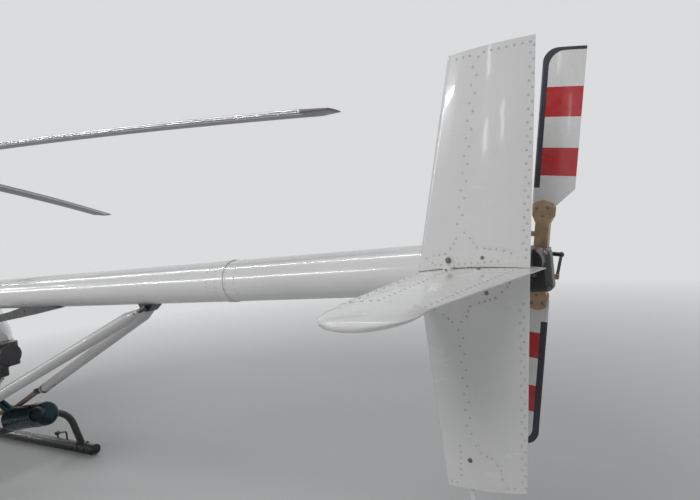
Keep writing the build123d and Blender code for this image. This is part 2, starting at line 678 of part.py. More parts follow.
def rotor_hub():
    shaft = tube((0.0, 0.0, 1820.0), (0.0, 0.0, HUB_Z + 40.0), MAST_RADIUS)
    core = tube((0.0, 0.0, HUB_Z - 45.0), (0.0, 0.0, HUB_Z + 45.0), 85.0)
    cap = tube((0.0, 0.0, HUB_Z + 45.0), (0.0, 0.0, HUB_Z + 70.0), 45.0)
    hub = joined([shaft, core, cap])
    for azimuth in ROTOR_AZIMUTHS:
        place = Pos(0.0, 0.0, HUB_Z) * Rot(0.0, 0.0, azimuth)
        arm = Pos(FLAP_RADIUS / 2, 0.0, 0.0) * Box(FLAP_RADIUS, 100.0, 70.0)
        socket = Pos(FLAP_RADIUS, 0.0, 0.0) * Rot(90.0, 0.0, 0.0) * Cylinder(
            FLAP_BARREL_RADIUS + SEAT_CLEARANCE, 160.0)
        hub = hub + place * (arm - socket)
    return hub


def flap_place(azimuth):
    """Frame of a blade at its flapping pin: x along the blade, drooped."""
    return (Pos(0.0, 0.0, HUB_Z) * Rot(0.0, 0.0, azimuth) * Pos(FLAP_RADIUS, 0.0, 0.0)
            * Rot(0.0, BLADE_ROOT_SLOPE, 0.0))


def blade_grip():
    """Fork that holds a blade, in the frame of its flapping pin."""
    barrel = Rot(90.0, 0.0, 0.0) * Cylinder(FLAP_BARREL_RADIUS, 100.0)
    block = Pos(GRIP_BLOCK_END / 2, 0.0, 0.0) * Box(GRIP_BLOCK_END, GRIP_WIDTH, GRIP_GAP + 2 * GRIP_PLATE)
    block = block - Pos(-20.0, 0.0, 0.0) * Box(90.0, 400.0, 200.0)
    neck = Pos(20.0, 0.0, 0.0) * Box(60.0, 70.0, 40.0)
    pieces = [barrel, neck, block]
    plate_z = (GRIP_GAP + GRIP_PLATE) / 2
    for z in (plate_z, -plate_z):
        pieces.append(Pos((GRIP_BLOCK_END + GRIP_PLATE_END) / 2 - 10.0, 0.0, z)
                      * Box(GRIP_PLATE_END - GRIP_BLOCK_END + 20.0, GRIP_WIDTH, GRIP_PLATE))
    pieces.append(Pos(70.0, -HORN_REACH / 2 - 20.0, 0.0) * Box(34.0, HORN_REACH, 20.0))
    return joined(pieces)


def blade_sag(distance):
    """Droop of the bent blade below its root line."""
    span = ROTOR_RADIUS - FLAP_RADIUS
    return -BLADE_TIP_SAG * (distance / span) ** 2


def blade_section(distance, chord, thickness):
    """Blade section at a distance from the flapping pin, its leading edge towards -y."""
    plane = Plane(origin=(distance, -0.25 * BLADE_CHORD, blade_sag(distance)),
                  x_dir=(0.0, 1.0, 0.0), z_dir=(1.0, 0.0, 0.0))
    return plane * airfoil(chord, thickness)


def main_blade():
    span = ROTOR_RADIUS - FLAP_RADIUS
    root = GRIP_PLATE_END + 60.0
    blade = loft([
        blade_section(root, BLADE_CHORD, BLADE_THICKNESS),
        blade_section(span * 0.5, BLADE_CHORD, BLADE_THICKNESS),
        blade_section(span - 120.0, BLADE_CHORD, BLADE_THICKNESS),
    ])
    tip = loft([
        blade_section(span - 120.0, BLADE_CHORD, BLADE_THICKNESS),
        blade_section(span, 0.62 * BLADE_CHORD, 0.5 * BLADE_THICKNESS),
    ])
    cuff_start = GRIP_BLOCK_END + SEAT_CLEARANCE
    cuff = (Pos((cuff_start + root) / 2 + 30.0, 0.0, blade_sag(root) / 2)
            * Box(root - cuff_start + 60.0, 0.6 * GRIP_WIDTH, 0.6 * BLADE_THICKNESS))
    doubler = (Pos((cuff_start + GRIP_PLATE_END) / 2, 0.0, 0.0)
               * Box(GRIP_PLATE_END - cuff_start, GRIP_WIDTH - 20.0, GRIP_GAP))
    return joined([blade, tip, cuff, doubler])


def main_rotor_parts():
    parts = {"rotor_hub": rotor_hub()}
    grip = blade_grip()
    blade = main_blade()
    parts["blade_grips"] = apart([flap_place(azimuth) * grip for azimuth in ROTOR_AZIMUTHS])
    for number, azimuth in enumerate(ROTOR_AZIMUTHS, 1):
        parts[f"main_blade_{number}"] = flap_place(azimuth) * blade
    parts["turning_swashplate"] = turning_swashplate()
    return parts


def turning_swashplate():
    low = SWASH_Z + TURNING_GAP
    high = low + SWASH_THICKNESS
    ring = tube((0.0, 0.0, low), (0.0, 0.0, high), SWASH_RADIUS)
    ring = ring - tube((0.0, 0.0, low - 1.0), (0.0, 0.0, high + 1.0), MAST_HOUSING_RADII[1] + 18.0)
    for azimuth in ROTOR_AZIMUTHS:
        horn = flap_place(azimuth) * Location((70.0, -HORN_REACH, -10.0))
        end = horn.position
        side = Vector(end.X, end.Y, 0.0).normalized()
        lug_end = side * (SWASH_RADIUS + 34.0)
        lug = tube((side.X * 90.0, side.Y * 90.0, (low + high) / 2), (lug_end.X, lug_end.Y, (low + high) / 2), 10.0)
        foot = lug_end - side * 14.0
        link = tube((foot.X, foot.Y, (low + high) / 2), (end.X, end.Y, end.Z), 8.0)
        ring = joined([ring, lug, link])
    grips = apart([flap_place(azimuth) * blade_grip() for azimuth in ROTOR_AZIMUTHS])
    return ring - grips


# Tail boom, struts and tail surfaces

def boom_parts():
    start = (BOOM_FRONT_X, 0.0, BOOM_Z)
    joint = (BOOM_JOINT_X, 0.0, BOOM_Z)
    end = (BOOM_REAR_X, 0.0, BOOM_Z)
    front = tube(start, joint, BOOM_RADIUS, BOOM_WALL)
    rear = tube(joint, end, BOOM_RADIUS, BOOM_WALL)
    half = BOOM_BAND_WIDTH / 2
    band = tube((BOOM_JOINT_X + half, 0.0, BOOM_Z), (BOOM_JOINT_X - half, 0.0, BOOM_Z),
                BOOM_RADIUS + BOOM_WALL, BOOM_WALL)
    end_cap = tube((BOOM_REAR_X + 4.0, 0.0, BOOM_Z), end, BOOM_RADIUS)
    return {"boom_front": front, "boom_rear": joined([rear, band, end_cap])}


def boom_saddle():
    """Arm that rises from the cowling's tail to the boom's underside."""
    arm = side_prism(side_outline(SADDLE_OUTLINE), -SADDLE_HALF_WIDTH, SADDLE_HALF_WIDTH)
    arm = arm - tube((0.0, 0.0, BOOM_Z), (BOOM_REAR_X, 0.0, BOOM_Z), BOOM_RADIUS)
    return (arm - body_loft(COWLING_SECTIONS, 0.0, 0.0)).solids().sort_by(SortBy.VOLUME)[-1]


def strut():
    """Tube with a flattened neck at each end, on the port side."""
    top, foot = point(STRUT_TOP), point(STRUT_FOOT)
    along = (top - foot).normalized()
    body_start, body_end = foot + along * STRUT_START, top - along * STRUT_NECK
    body = tube(body_start, body_end, STRUT_RADIUS, STRUT_WALL)
    neck = loft([
        Plane(origin=body_end, z_dir=along) * Circle(STRUT_RADIUS),
        Plane(origin=top - along * 20.0, z_dir=along) * Circle(STRUT_RADIUS * 0.4),
    ])
    end = tube(body_start, body_start + along * 10.0, STRUT_RADIUS)
    return joined([body, neck, end])


def strut_clevis():
    """Disc, two cheeks and pin between the frame and the port strut's foot."""
    top, foot = point(STRUT_TOP), point(STRUT_FOOT)
    along = (top - foot).normalized()
    end = foot + along * (STRUT_START - SEAT_CLEARANCE)
    low = point(frame_stations()["low_rear"])
    length = (end - low).length
    across = (end - low).cross(Vector(0.0, 0.0, 1.0)).normalized()
    plane = Plane(origin=low, x_dir=across, z_dir=end - low)
    block = plane * Pos(0.0, 0.0, length / 2) * Box(CLEVIS_WIDTH, CLEVIS_WIDTH, length)
    slot = plane * Pos(0.0, 0.0, length / 2 - CLEVIS_DISC) * Box(CLEVIS_SLOT, 2 * CLEVIS_WIDTH, length)
    disc = tube(end - along * CLEVIS_DISC, end, CLEVIS_DISC_RADIUS)
    strut_space = tube(end, end + along * STRUT_NECK, 2 * STRUT_RADIUS)
    middle = low + (end - low) * CLEVIS_PIN_SHARE
    reach = across * (CLEVIS_WIDTH / 2 + CLEVIS_PIN_RADIUS)
    pin = tube(middle - reach, middle + reach, CLEVIS_PIN_RADIUS)
    return joined([block - slot, disc, pin]) - rear_frame() - strut_space


def strut_fittings():
    """Hanger under the boom and the clevises at the struts' feet."""
    top, foot = point(STRUT_TOP), point(STRUT_FOOT)
    along = (top - foot).normalized()
    outline = side_outline([(top.X + x, top.Z + z) for x, z in HANGER_OUTLINE])
    hanger = side_prism(outline, -HANGER_HALF_WIDTH, HANGER_HALF_WIDTH)
    hanger = hanger - tube((0.0, 0.0, BOOM_Z), (BOOM_REAR_X, 0.0, BOOM_Z), BOOM_RADIUS)
    for side in (1, -1):
        end = Vector(top.X, side * top.Y, top.Z)
        direction = Vector(along.X, side * along.Y, along.Z)
        hanger = hanger + tube(end - direction * 20.0, end + direction * 24.0, 11.0)
    hanger = hanger - strut() - mirrored(strut())
    return apart([hanger, strut_clevis(), mirrored(strut_clevis())])


def fin():
    sections = []
    for z, lead, trail in FIN_SECTIONS:
        thickness = FIN_THICKNESS * (lead - trail) / (FIN_SECTIONS[1][1] - FIN_SECTIONS[1][2])
        plane = Plane(origin=(lead, FIN_Y + FIN_THICKNESS / 2, z), x_dir=(-1.0, 0.0, 0.0), z_dir=(0.0, 0.0, 1.0))
        sections.append(plane * airfoil(lead - trail, thickness))
    halves = [loft(sections[:2]), loft(sections[1:])]
    return joined(halves)


def stabiliser():
    sections = []
    for y, lead, trail in STABILISER_SECTIONS:
        plane = Plane(origin=(lead, y, STABILISER_Z), x_dir=(-1.0, 0.0, 0.0), z_dir=(0.0, -1.0, 0.0))
        sections.append(plane * airfoil(lead - trail, STABILISER_THICKNESS))
    wing = loft(sections)
    y, lead, trail = STABILISER_SECTIONS[-1]
    chord = lead - trail
    tip_plane = Plane(origin=(lead - 0.2 * chord, STABILISER_TIP_Y, STABILISER_Z), x_dir=(-1.0, 0.0, 0.0),
                      z_dir=(0.0, -1.0, 0.0))
    tip = loft([sections[-1], tip_plane * airfoil(0.55 * chord, 0.5 * STABILISER_THICKNESS)])
    return ((wing + tip) - fin()).solids().sort_by(SortBy.VOLUME)[-1]


def tail_gearbox():
    x, y, z = TAIL_HUB
    length, depth, height = GEARBOX_SIZE
    case = Pos(x, -BOOM_RADIUS - depth / 2 + 26.0, z - GEARBOX_DROP) * Box(length, depth, height)
    case = fillet(case.edges(), GEARBOX_CORNER)
    neck = tube((BOOM_REAR_X, 0.0, z), (x - 20.0, 0.0, z), 45.0)
    arm = tube((x, 0.0, z), (x, -BOOM_RADIUS, z), 42.0)
    nose = tube((x, -BOOM_RADIUS, z), (x, -BOOM_RADIUS - depth / 2 - 12.0, z), 27.0)
    box = joined([case, neck, arm, nose])
    bore = tube((x, -BOOM_RADIUS, z), (x, y, z), TAIL_SHAFT_RADIUS + RUNNING_CLEARANCE)
    boom = tube((BOOM_JOINT_X, 0.0, BOOM_Z), (BOOM_REAR_X, 0.0, BOOM_Z), BOOM_RADIUS)
    return box - bore - boom


def tail_guard():
    z_top = FIN_SECTIONS[-1][0]
    y = FIN_Y + FIN_THICKNESS / 2
    low = z_top - GUARD_DROP
    bar = bent_tube([(GUARD_X, y, z_top), (GUARD_X - 40.0, y, low), (GUARD_X - GUARD_REACH, y, low)],
                    130.0, GUARD_RADIUS)
    return bar - fin()


# Tail rotor: blades stand along z before they lean

def tail_place(turn=0.0):
    return Pos(*TAIL_HUB) * Rot(0.0, -TAIL_BLADE_LEAN + turn, 0.0)


def tail_blade_outline(drop=0.0, inset=0.0):
    """Side view of a blade: root cut aslant at the trailing edge, tip rounded at the leading edge."""
    lead = TAIL_LEADING_OFFSET - inset
    trail = TAIL_LEADING_OFFSET - TAIL_CHORD
    tip = TAIL_ROTOR_RADIUS - drop
    corner = TAIL_TIP_CORNER
    bend = corner * (1.0 - cos(radians(45.0)))
    outline = [
        Line((lead, 0.0, TAIL_BLADE_ROOT), (lead, 0.0, tip - corner)),
        ThreePointArc((lead, 0.0, tip - corner), (lead - bend, 0.0, tip - bend), (lead - corner, 0.0, tip)),
        Line((lead - corner, 0.0, tip), (trail, 0.0, tip)),
        Line((trail, 0.0, tip), (trail, 0.0, TAIL_BLADE_ROOT + TAIL_ROOT_SLANT)),
        Line((trail, 0.0, TAIL_BLADE_ROOT + TAIL_ROOT_SLANT), (-FORK_HALF_WIDTH, 0.0, TAIL_BLADE_ROOT)),
        Line((-FORK_HALF_WIDTH, 0.0, TAIL_BLADE_ROOT), (lead, 0.0, TAIL_BLADE_ROOT)),
    ]
    return side_prism(make_face(outline), -TAIL_THICKNESS, TAIL_THICKNESS)


def tail_blade_solids():
    """A blade with its root block, and the strip along its leading edge and round its tip."""
    plane = Plane(origin=(TAIL_LEADING_OFFSET, 0.0, TAIL_BLADE_ROOT), x_dir=(-1.0, 0.0, 0.0), z_dir=(0.0, 0.0, 1.0))
    wing = extrude(plane * airfoil(TAIL_CHORD, TAIL_THICKNESS), TAIL_ROTOR_RADIUS - TAIL_BLADE_ROOT)
    wing = wing & tail_blade_outline()
    core = tail_blade_outline(TAIL_TIP_STRIP, TAIL_STRIP_WIDTH)
    near_root = Pos(0.0, 0.0, TAIL_STRIP_FROM / 2) * Box(2 * TAIL_CHORD, TAIL_CHORD, TAIL_STRIP_FROM)
    strip = wing - core - near_root
    root_top = FORK_END - 2.0
    root = Pos(0.0, 0.0, (FORK_SLOT_FROM + root_top) / 2) * Box(2 * FORK_FAN_HALF_WIDTH - 8.0, FORK_SLOT,
                                                               root_top - FORK_SLOT_FROM)
    return (wing - strip) + root, strip


def tail_fork():
    """Shank and fan-shaped end of one fork, slotted for the blade's root, with its pitch horn."""
    neck, fan, half, wide, end = FORK_NECK, FORK_FAN_FROM, FORK_HALF_WIDTH, FORK_FAN_HALF_WIDTH, FORK_END
    shoulder = end - wide * 0.35
    outline = [
        Line((half, 0.0, 0.0), (half, 0.0, neck)),
        Line((half, 0.0, neck), (wide, 0.0, fan)),
        Line((wide, 0.0, fan), (wide, 0.0, shoulder)),
        ThreePointArc((wide, 0.0, shoulder), (0.0, 0.0, end), (-wide, 0.0, shoulder)),
        Line((-wide, 0.0, shoulder), (-wide, 0.0, fan)),
        Line((-wide, 0.0, fan), (-half, 0.0, neck)),
        Line((-half, 0.0, neck), (-half, 0.0, 0.0)),
        Line((-half, 0.0, 0.0), (half, 0.0, 0.0)),
    ]
    fork = side_prism(make_face(outline), -FORK_THICKNESS / 2, FORK_THICKNESS / 2)
    slot = Pos(0.0, 0.0, (FORK_SLOT_FROM + end) / 2 + 10.0) * Box(100.0, FORK_SLOT, end - FORK_SLOT_FROM + 20.0)
    horn = Pos(PITCH_BAR_REACH / 2, -FORK_THICKNESS / 2 + 5.0, PITCH_HORN_Z) * Box(PITCH_BAR_REACH + 14.0, 12.0, 16.0)
    return (fork - slot) + horn - tail_hub_block()


def tail_hub_block():
    return Box(*TAIL_HUB_SIZE)


def tail_pitch_control():
    """Rod and crossbar outboard of the hub, with a link back to each fork's horn."""
    pieces = [
        tube((0.0, 0.0, 0.0), (0.0, PITCH_BAR_Y, 0.0), PITCH_ROD_RADIUS),
        tube((-PITCH_BAR_REACH, PITCH_BAR_Y, 0.0), (PITCH_BAR_REACH, PITCH_BAR_Y, 0.0), PITCH_BAR_RADIUS),
    ]
    for end in (1, -1):
        bar_end = (end * PITCH_BAR_REACH, PITCH_BAR_Y, 0.0)
        horn_end = (end * PITCH_BAR_REACH, -FORK_THICKNESS / 2 - 1.0, end * PITCH_HORN_Z)
        pieces.append(Pos(*bar_end) * Sphere(PITCH_BAR_RADIUS * 1.3))
        pieces.append(tube(bar_end, horn_end, PITCH_LINK_RADIUS))
    return joined(pieces)


def tail_rotor_parts():
    x, y, z = TAIL_HUB
    drum_radius, drum_length = TAIL_HUB_DRUM
    hub = Rot(90.0, 0.0, 0.0) * Cylinder(drum_radius, drum_length) + tail_hub_block()
    shaft = tube((x, -BOOM_RADIUS - 10.0, z), (x, y, z), TAIL_SHAFT_RADIUS)
    turns = (0.0, 180.0)
    fork = tail_fork()
    blade, strip = tail_blade_solids()
    forks = [tail_place(turn) * (fork - hub) for turn in turns]
    control = tail_place() * (hub + tail_pitch_control())
    return {
        "tail_rotor_hub": control + shaft - forks[0] - forks[1],
        "tail_forks": apart(forks),
        "tail_blades": apart([tail_place(turn) * blade for turn in turns]),
        "tail_blade_strips": apart([tail_place(turn) * strip for turn in turns]),
    }


# Skid gear

def skid():
    z = SHOE_THICKNESS + SKID_RADIUS
    rail = bent_tube([(SKID_REAR_X, SKID_Y, z), (SKID_FRONT_X, SKID_Y, z),
                      (SKID_FRONT_X + SKID_TOE_REACH, SKID_Y, z + SKID_TOE_RISE)], 260.0, SKID_RADIUS)
    length = SKID_FRONT_X - SKID_REAR_X - 260.0
    shoe = Pos(SKID_REAR_X + 40.0 + length / 2, SKID_Y, (SHOE_THICKNESS + 10.0) / 2) * Box(
        length, SHOE_WIDTH, SHOE_THICKNESS + 10.0)
    (front_x, front_z), (rear_x, rear_z) = STAPLE_CORNERS
    staple = bent_tube([(front_x, SKID_Y, z), (front_x, SKID_Y, front_z), (rear_x, SKID_Y, rear_z),
                        (rear_x, SKID_Y, z)], STAPLE_BEND, STAPLE_RADIUS)
    boss_place = Pos(front_x, SKID_Y, front_z) * Rot(90.0, 0.0, 0.0)
    boss = boss_place * Cylinder(WHEEL_BOSS_RADIUS, WHEEL_BOSS_LENGTH)
    bore = boss_place * Cylinder(WHEEL_BORE_RADIUS, 2 * WHEEL_BOSS_LENGTH)
    return joined([rail, shoe, staple, boss]) - bore


def cross_tube(x):
    foot_z = SHOE_THICKNESS + SKID_RADIUS
    path = [(x, -SKID_Y, foot_z), (x, -CROSS_KNEE_Y, CROSS_TUBE_Z), (x, CROSS_KNEE_Y, CROSS_TUBE_Z),
            (x, SKID_Y, foot_z)]
    arch = bent_tube(path, CROSS_BEND, CROSS_TUBE_RADIUS)
    cutter = tube((SKID_REAR_X - 100.0, SKID_Y, foot_z), (SKID_FRONT_X, SKID_Y, foot_z), SKID_RADIUS)
    return arch - cutter - mirrored(cutter)


def cross_tube_posts(x, y, z_top):
    """A pair of posts from a cross tube up to what it carries."""
    return [tube((x, side * y, CROSS_TUBE_Z), (x, side * y, z_top), POST_RADIUS) for side in (1, -1)]


def cross_tube_parts():
    front_x, rear_x = CROSS_TUBE_X["cross_tube_front"], CROSS_TUBE_X["cross_tube_rear"]
    front_posts = cross_tube_posts(front_x, POST_Y_FRONT, CABIN_SECTIONS[2][2] + 60.0)
    rear_posts = cross_tube_posts(rear_x, POST_Y_REAR, frame_stations()["low_middle"][2] - POST_COPE)
    cabin = body_loft(CABIN_SECTIONS, 0.0, 0.0)
    frame = rear_frame()
    return {
        "cross_tube_front": joined([cross_tube(front_x)] + [post - cabin for post in front_posts]),
        "cross_tube_rear": joined([cross_tube(rear_x)] + [post - frame for post in rear_posts]),
    }


def build():
    nodes = {}
    nodes.update(cabin_parts())
    nodes["seat_base"] = seat_base()
    nodes["seat_left"] = seat()
    nodes["seat_right"] = mirrored(seat())
    nodes["instrument_console"] = console()
    nodes["flight_controls"] = flight_controls()
    nodes["engine_block"] = engine_block()
    nodes["rear_frame"] = rear_frame()
    nodes["engine_cowling"] = cowling()
    nodes["mast_fairing"] = mast_fairing()
    nodes["mast_housing"] = mast_housing()
    nodes["muffler"] = exhaust()
    nodes["cooler_duct"] = cooler_duct()
    nodes.update(main_rotor_parts())
    nodes.update(boom_parts())
    nodes["boom_saddle"] = boom_saddle()
    nodes["strut_left"] = strut()
    nodes["strut_right"] = mirrored(strut())
    nodes["strut_fittings"] = strut_fittings()
    nodes["fin"] = fin()
    nodes["stabiliser"] = stabiliser()
    nodes["tail_gearbox"] = tail_gearbox()
    nodes["tail_guard"] = tail_guard()
    nodes.update(tail_rotor_parts())
    nodes["skid_left"] = skid()
    nodes["skid_right"] = mirrored(skid())
    nodes.update(cross_tube_parts())
    return nodes


os.makedirs("parts", exist_ok=True)
for name, shape in build().items():
    placed = shape.moved(Location((-ORIGIN_X, -ORIGIN_Y, 0.0)))
    export_step(placed, f"parts/{name}.step")
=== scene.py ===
"""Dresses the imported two-seat light helicopter: paint, rivets, seals, seats, instruments and small hardware.

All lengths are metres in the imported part's frame: +X to the nose, +Y to port, +Z up.
"""

import json
import math

import bmesh
import bpy
from bpy.props import FloatProperty, FloatVectorProperty, IntProperty, PointerProperty
from mathutils import Matrix, Vector
from mathutils.bvhtree import BVHTree


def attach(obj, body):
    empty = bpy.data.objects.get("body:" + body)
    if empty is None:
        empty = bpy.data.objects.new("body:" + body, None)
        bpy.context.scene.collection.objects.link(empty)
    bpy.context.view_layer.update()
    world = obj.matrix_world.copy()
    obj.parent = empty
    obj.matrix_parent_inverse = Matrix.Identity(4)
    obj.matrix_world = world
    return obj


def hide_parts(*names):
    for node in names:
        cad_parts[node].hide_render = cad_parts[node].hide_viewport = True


bl_info = {
    "name": "Light Helicopter Dressing",
    "version": (1, 0, 0),
    "blender": (4, 5, 0),
    "location": "3D View > Sidebar > Helicopter",
    "description": "Paint, rivets, seals, seats and small hardware for a two-seat light helicopter",
    "category": "Object",
}

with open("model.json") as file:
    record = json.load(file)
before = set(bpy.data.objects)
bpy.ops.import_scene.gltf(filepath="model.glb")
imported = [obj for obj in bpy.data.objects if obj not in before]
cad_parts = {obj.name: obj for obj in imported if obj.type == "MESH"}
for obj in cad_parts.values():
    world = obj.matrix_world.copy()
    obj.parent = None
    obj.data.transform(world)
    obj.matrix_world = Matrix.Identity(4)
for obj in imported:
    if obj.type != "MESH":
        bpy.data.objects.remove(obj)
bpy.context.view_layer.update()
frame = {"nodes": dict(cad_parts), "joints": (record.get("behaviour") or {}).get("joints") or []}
NODES = frame["nodes"]
PIVOTS = {joint["name"]: Vector(joint["pos_m"]) for joint in frame["joints"]}
MAST = PIVOTS["main_rotor_spin"]
TAIL_HUB = PIVOTS["tail_rotor_spin"]
FINISH_PREFIX = "finish_"
# Rivet heads, then the darker ring round each head: dirt and painted shade
RIVET_FINISHES = "rivet_paint rivet_dirt"

AIRFRAME = "airframe"
MAIN_ROTOR = "main_rotor"
TAIL_ROTOR = "tail_rotor"
DOORS = {1: "door_left", -1: "door_right"}

# Main forms that the dressing follows, measured from the ground point under the mast
BOOM_RADIUS = 0.0825
BOOM_Z = 1.346
BOOM_JOINT_X = -2.930
FIN_Y = 0.1146
STABILISER_Z = 1.342
TAIL_LEAN = math.radians(9.7)
ROTOR_AZIMUTHS = (182.35, 62.35, -57.65)
FLAP_RADIUS = 0.215
ROOT_SLOPE = math.radians(4.0)
DOOR_OUTLINE = ((0.330, 0.560), (1.180, 0.560), (1.180, 1.240), (0.905, 1.600), (0.330, 1.600))
DOOR_WINDOW = ((0.405, 0.900), (1.105, 0.900), (1.105, 1.215), (0.8675, 1.525), (0.405, 1.525))
DOOR_CORNER = 0.070
WINDOW_CORNER = 0.060
SEAT_Y = 0.262

# How far from a surface the rays start that look for it, and the least turn that shows as an edge
NEAR_REACH = 0.2
SIDE_REACH = 1.2
SHARP_ANGLE = math.radians(40.0)

UP = Vector((0.0, 0.0, 1.0))
FORWARD = Vector((1.0, 0.0, 0.0))
PORT = Vector((0.0, 1.0, 0.0))


def at(x, y, z):
    """A place measured from the ground point under the mast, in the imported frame."""
    return Vector((MAST.x + x, MAST.y + y, z))


# Settings that a user would change

class StageSettings(bpy.types.PropertyGroup):
    """Camera, floor and light."""

    lens: FloatProperty(name="Lens", description="Focal length in millimetres", default=28.65)
    floor_size: FloatProperty(
        name="Floor size", description="Side of the floor", default=160.0, unit="LENGTH")
    sky_strength: FloatProperty(name="Sky strength", description="Even light from all round", default=0.27)
    key_strength: FloatProperty(name="Key strength", description="Light from above, watts", default=380.0)
    strip_strength: FloatProperty(
        name="Strip strength", description="Strips that only gloss shows, watts", default=150.0)
    floor_colour: FloatVectorProperty(
        name="Floor colour", description="Plain pale floor", subtype="COLOR", size=3,
        default=(0.60, 0.60, 0.595))


class PaintSettings(bpy.types.PropertyGroup):
    """Colours of the finishes."""

    body_white: FloatVectorProperty(
        name="Body white", description="Gloss paint of the airframe", subtype="COLOR", size=3,
        default=(0.72, 0.72, 0.705))
    band_red: FloatVectorProperty(
        name="Band red", description="Warning bands of the tail rotor", subtype="COLOR", size=3,
        default=(0.50, 0.012, 0.018))
    gear_black: FloatVectorProperty(
        name="Gear black", description="Skids and cross tubes", subtype="COLOR", size=3,
        default=(0.018, 0.018, 0.020))
    blade_grey: FloatVectorProperty(
        name="Blade grey", description="Main rotor blades", subtype="COLOR", size=3,
        default=(0.20, 0.18, 0.21))
    fork_bronze: FloatVectorProperty(
        name="Fork bronze", description="Tail rotor forks", subtype="COLOR", size=3,
        default=(0.45, 0.31, 0.19))


class RivetSettings(bpy.types.PropertyGroup):
    """Sizes of rivets and bolts."""

    head: FloatProperty(name="Rivet head", description="Head diameter", default=0.0054, unit="LENGTH")
    height: FloatProperty(
        name="Rivet height", description="Height of the dome", default=0.0014, unit="LENGTH")
    bolt: FloatProperty(
        name="Bolt size", description="Width across a usual bolt's head", default=0.013, unit="LENGTH")


class SeatSettings(bpy.types.PropertyGroup):
    """Seat cushions and belts."""

    swell: FloatProperty(
        name="Swell", description="How far a cushion may puff out", default=0.012, unit="LENGTH")
    voxel: FloatProperty(
        name="Voxel", description="Grain of the cushion's mesh", default=0.007, unit="LENGTH")
    frames: IntProperty(name="Frames", description="Length of the cloth simulation", default=16)
    belt_width: FloatProperty(
        name="Belt width", description="Width of the webbing", default=0.046, unit="LENGTH")


# Meshes

def across(direction):
    """Rotation that carries +Z to a direction."""
    return direction.normalized().to_track_quat("Z", "Y").to_matrix()


def turns(count, first=0.0):
    """Evenly spaced angles of a full turn, from a first one given in steps."""
    return [2.0 * math.pi * (i + first) / count for i in range(count)]


class Piece:
    """Collects shapes into one mesh that becomes one named piece."""

    def __init__(self):
        self.mesh = bmesh.new()
        self.rivets = []

    def _band(self, low, high, slot):
        count = max(len(low), len(high))
        for i in range(count):
            j = (i + 1) % count
            if len(low) == 1:
                corners = (low[0], high[j], high[i])
            elif len(high) == 1:
                corners = (low[i], low[j], high[0])
            else:
                corners = (low[i], low[j], high[j], high[i])
            self.mesh.faces.new(corners).material_index = slot

    def loops(self, rings, slot=0, closed=False):
        """Skin over rings of points, with its ends filled unless the rings close on themselves."""
        made = [[self.mesh.verts.new(point) for point in ring] for ring in rings]
        for low, high in zip(made, made[1:]):
            self._band(low, high, slot)
        if closed:
            self._band(made[-1], made[0], slot)
            return
        if len(made[0]) > 2:
            self.mesh.faces.new(list(reversed(made[0]))).material_index = slot
        if len(made[-1]) > 2:
            self.mesh.faces.new(made[-1]).material_index = slot

    def lathe(self, place, direction, profile, sides=16, slot=0):
        """Solid of revolution from (radius, height) pairs along a direction."""
        basis = across(direction)
        rings = []
        for radius, height in profile:
            if radius <= 0.0:
                rings.append([place + basis @ Vector((0.0, 0.0, height))])
                continue
            rings.append([place + basis @ Vector((radius * math.cos(a), radius * math.sin(a), height))
                          for a in turns(sides)])
        self.loops(rings, slot)

    def tube(self, points, radius, sides=12, closed=False):
        """Round bar along points, with flat ends unless it is closed."""
        count = len(points)
        rings = []
        side = None
        for i, point in enumerate(points):
            before = points[i - 1] if i or closed else point
            after = points[(i + 1) % count] if i + 1 < count or closed else point
            along = (after - before).normalized()
            if side is None:
                side = along.orthogonal().normalized()
            side = (side - along * side.dot(along)).normalized()
            other = along.cross(side)
            rings.append([point + radius * (side * math.cos(a) + other * math.sin(a))
                          for a in turns(sides)])
        self.loops(rings, closed=closed)

    def block(self, centre, size, basis=None, bevel=0.0):
        """Box with softened edges."""
        basis = basis or Matrix.Identity(3)
        made = bmesh.ops.create_cube(self.mesh, size=1.0)["verts"]
        for vert in made:
            local = Vector((vert.co.x * size[0], vert.co.y * size[1], vert.co.z * size[2]))
            vert.co = centre + basis @ local
        if bevel:
            edges = list({edge for vert in made for edge in vert.link_edges})
            bmesh.ops.bevel(self.mesh, geom=edges, offset=bevel, segments=2, affect="EDGES")

    def strip(self, pairs, thickness):
        """Closed band between pairs of edge points, with a thickness along each pair's third value."""
        rings = []
        for left, right, normal in pairs:
            lift = normal * thickness / 2.0
            rings.append([left + lift, right + lift, right - lift, left - lift])
        self.loops(rings)

    def finished(self, name, body, finishes, slot=None):
        """Turns the collected shapes into an object that rides on a body, with finishes by name."""
        bmesh.ops.recalc_face_normals(self.mesh, faces=self.mesh.faces)
        for face in self.mesh.faces:
            face.smooth = True
        for edge in self.mesh.edges:
            edge.smooth = len(edge.link_faces) == 2 and edge.calc_face_angle(0.0) < SHARP_ANGLE
        data = bpy.data.meshes.new(name)
        self.mesh.to_mesh(data)
        self.mesh.free()
        piece = bpy.data.objects.new(name, data)
        bpy.context.scene.collection.objects.link(piece)
        for finish in finishes.split():
            data.materials.append(material_named(finish))
        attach(piece, body)
        return piece


class Skin:
    """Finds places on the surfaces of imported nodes, given by name, or of other pieces."""

    def __init__(self, *sources):
        verts, faces = [], []
        for source in sources:
            data = (NODES[source] if isinstance(source, str) else source).data
            base = len(verts)
            verts.extend(vert.co.copy() for vert in data.vertices)
            faces.extend([base + index for index in polygon.vertices] for polygon in data.polygons)
        self.tree = BVHTree.FromPolygons(verts, faces)

    def hit(self, origin, direction, reach=3.0):
        """(place, outward normal) where a ray meets the surface, or None."""
        direction = direction.normalized()
        place, normal, _, _ = self.tree.ray_cast(origin, direction, reach)
        if place is None:
            return None
        if normal.dot(direction) > 0.0:
            normal = -normal
        return place, normal


def between(start, end, pitch):
    """Evenly spaced places on a straight run."""
    count = max(1, round((end - start).length / pitch))
    return [start.lerp(end, i / count) for i in range(count + 1)]


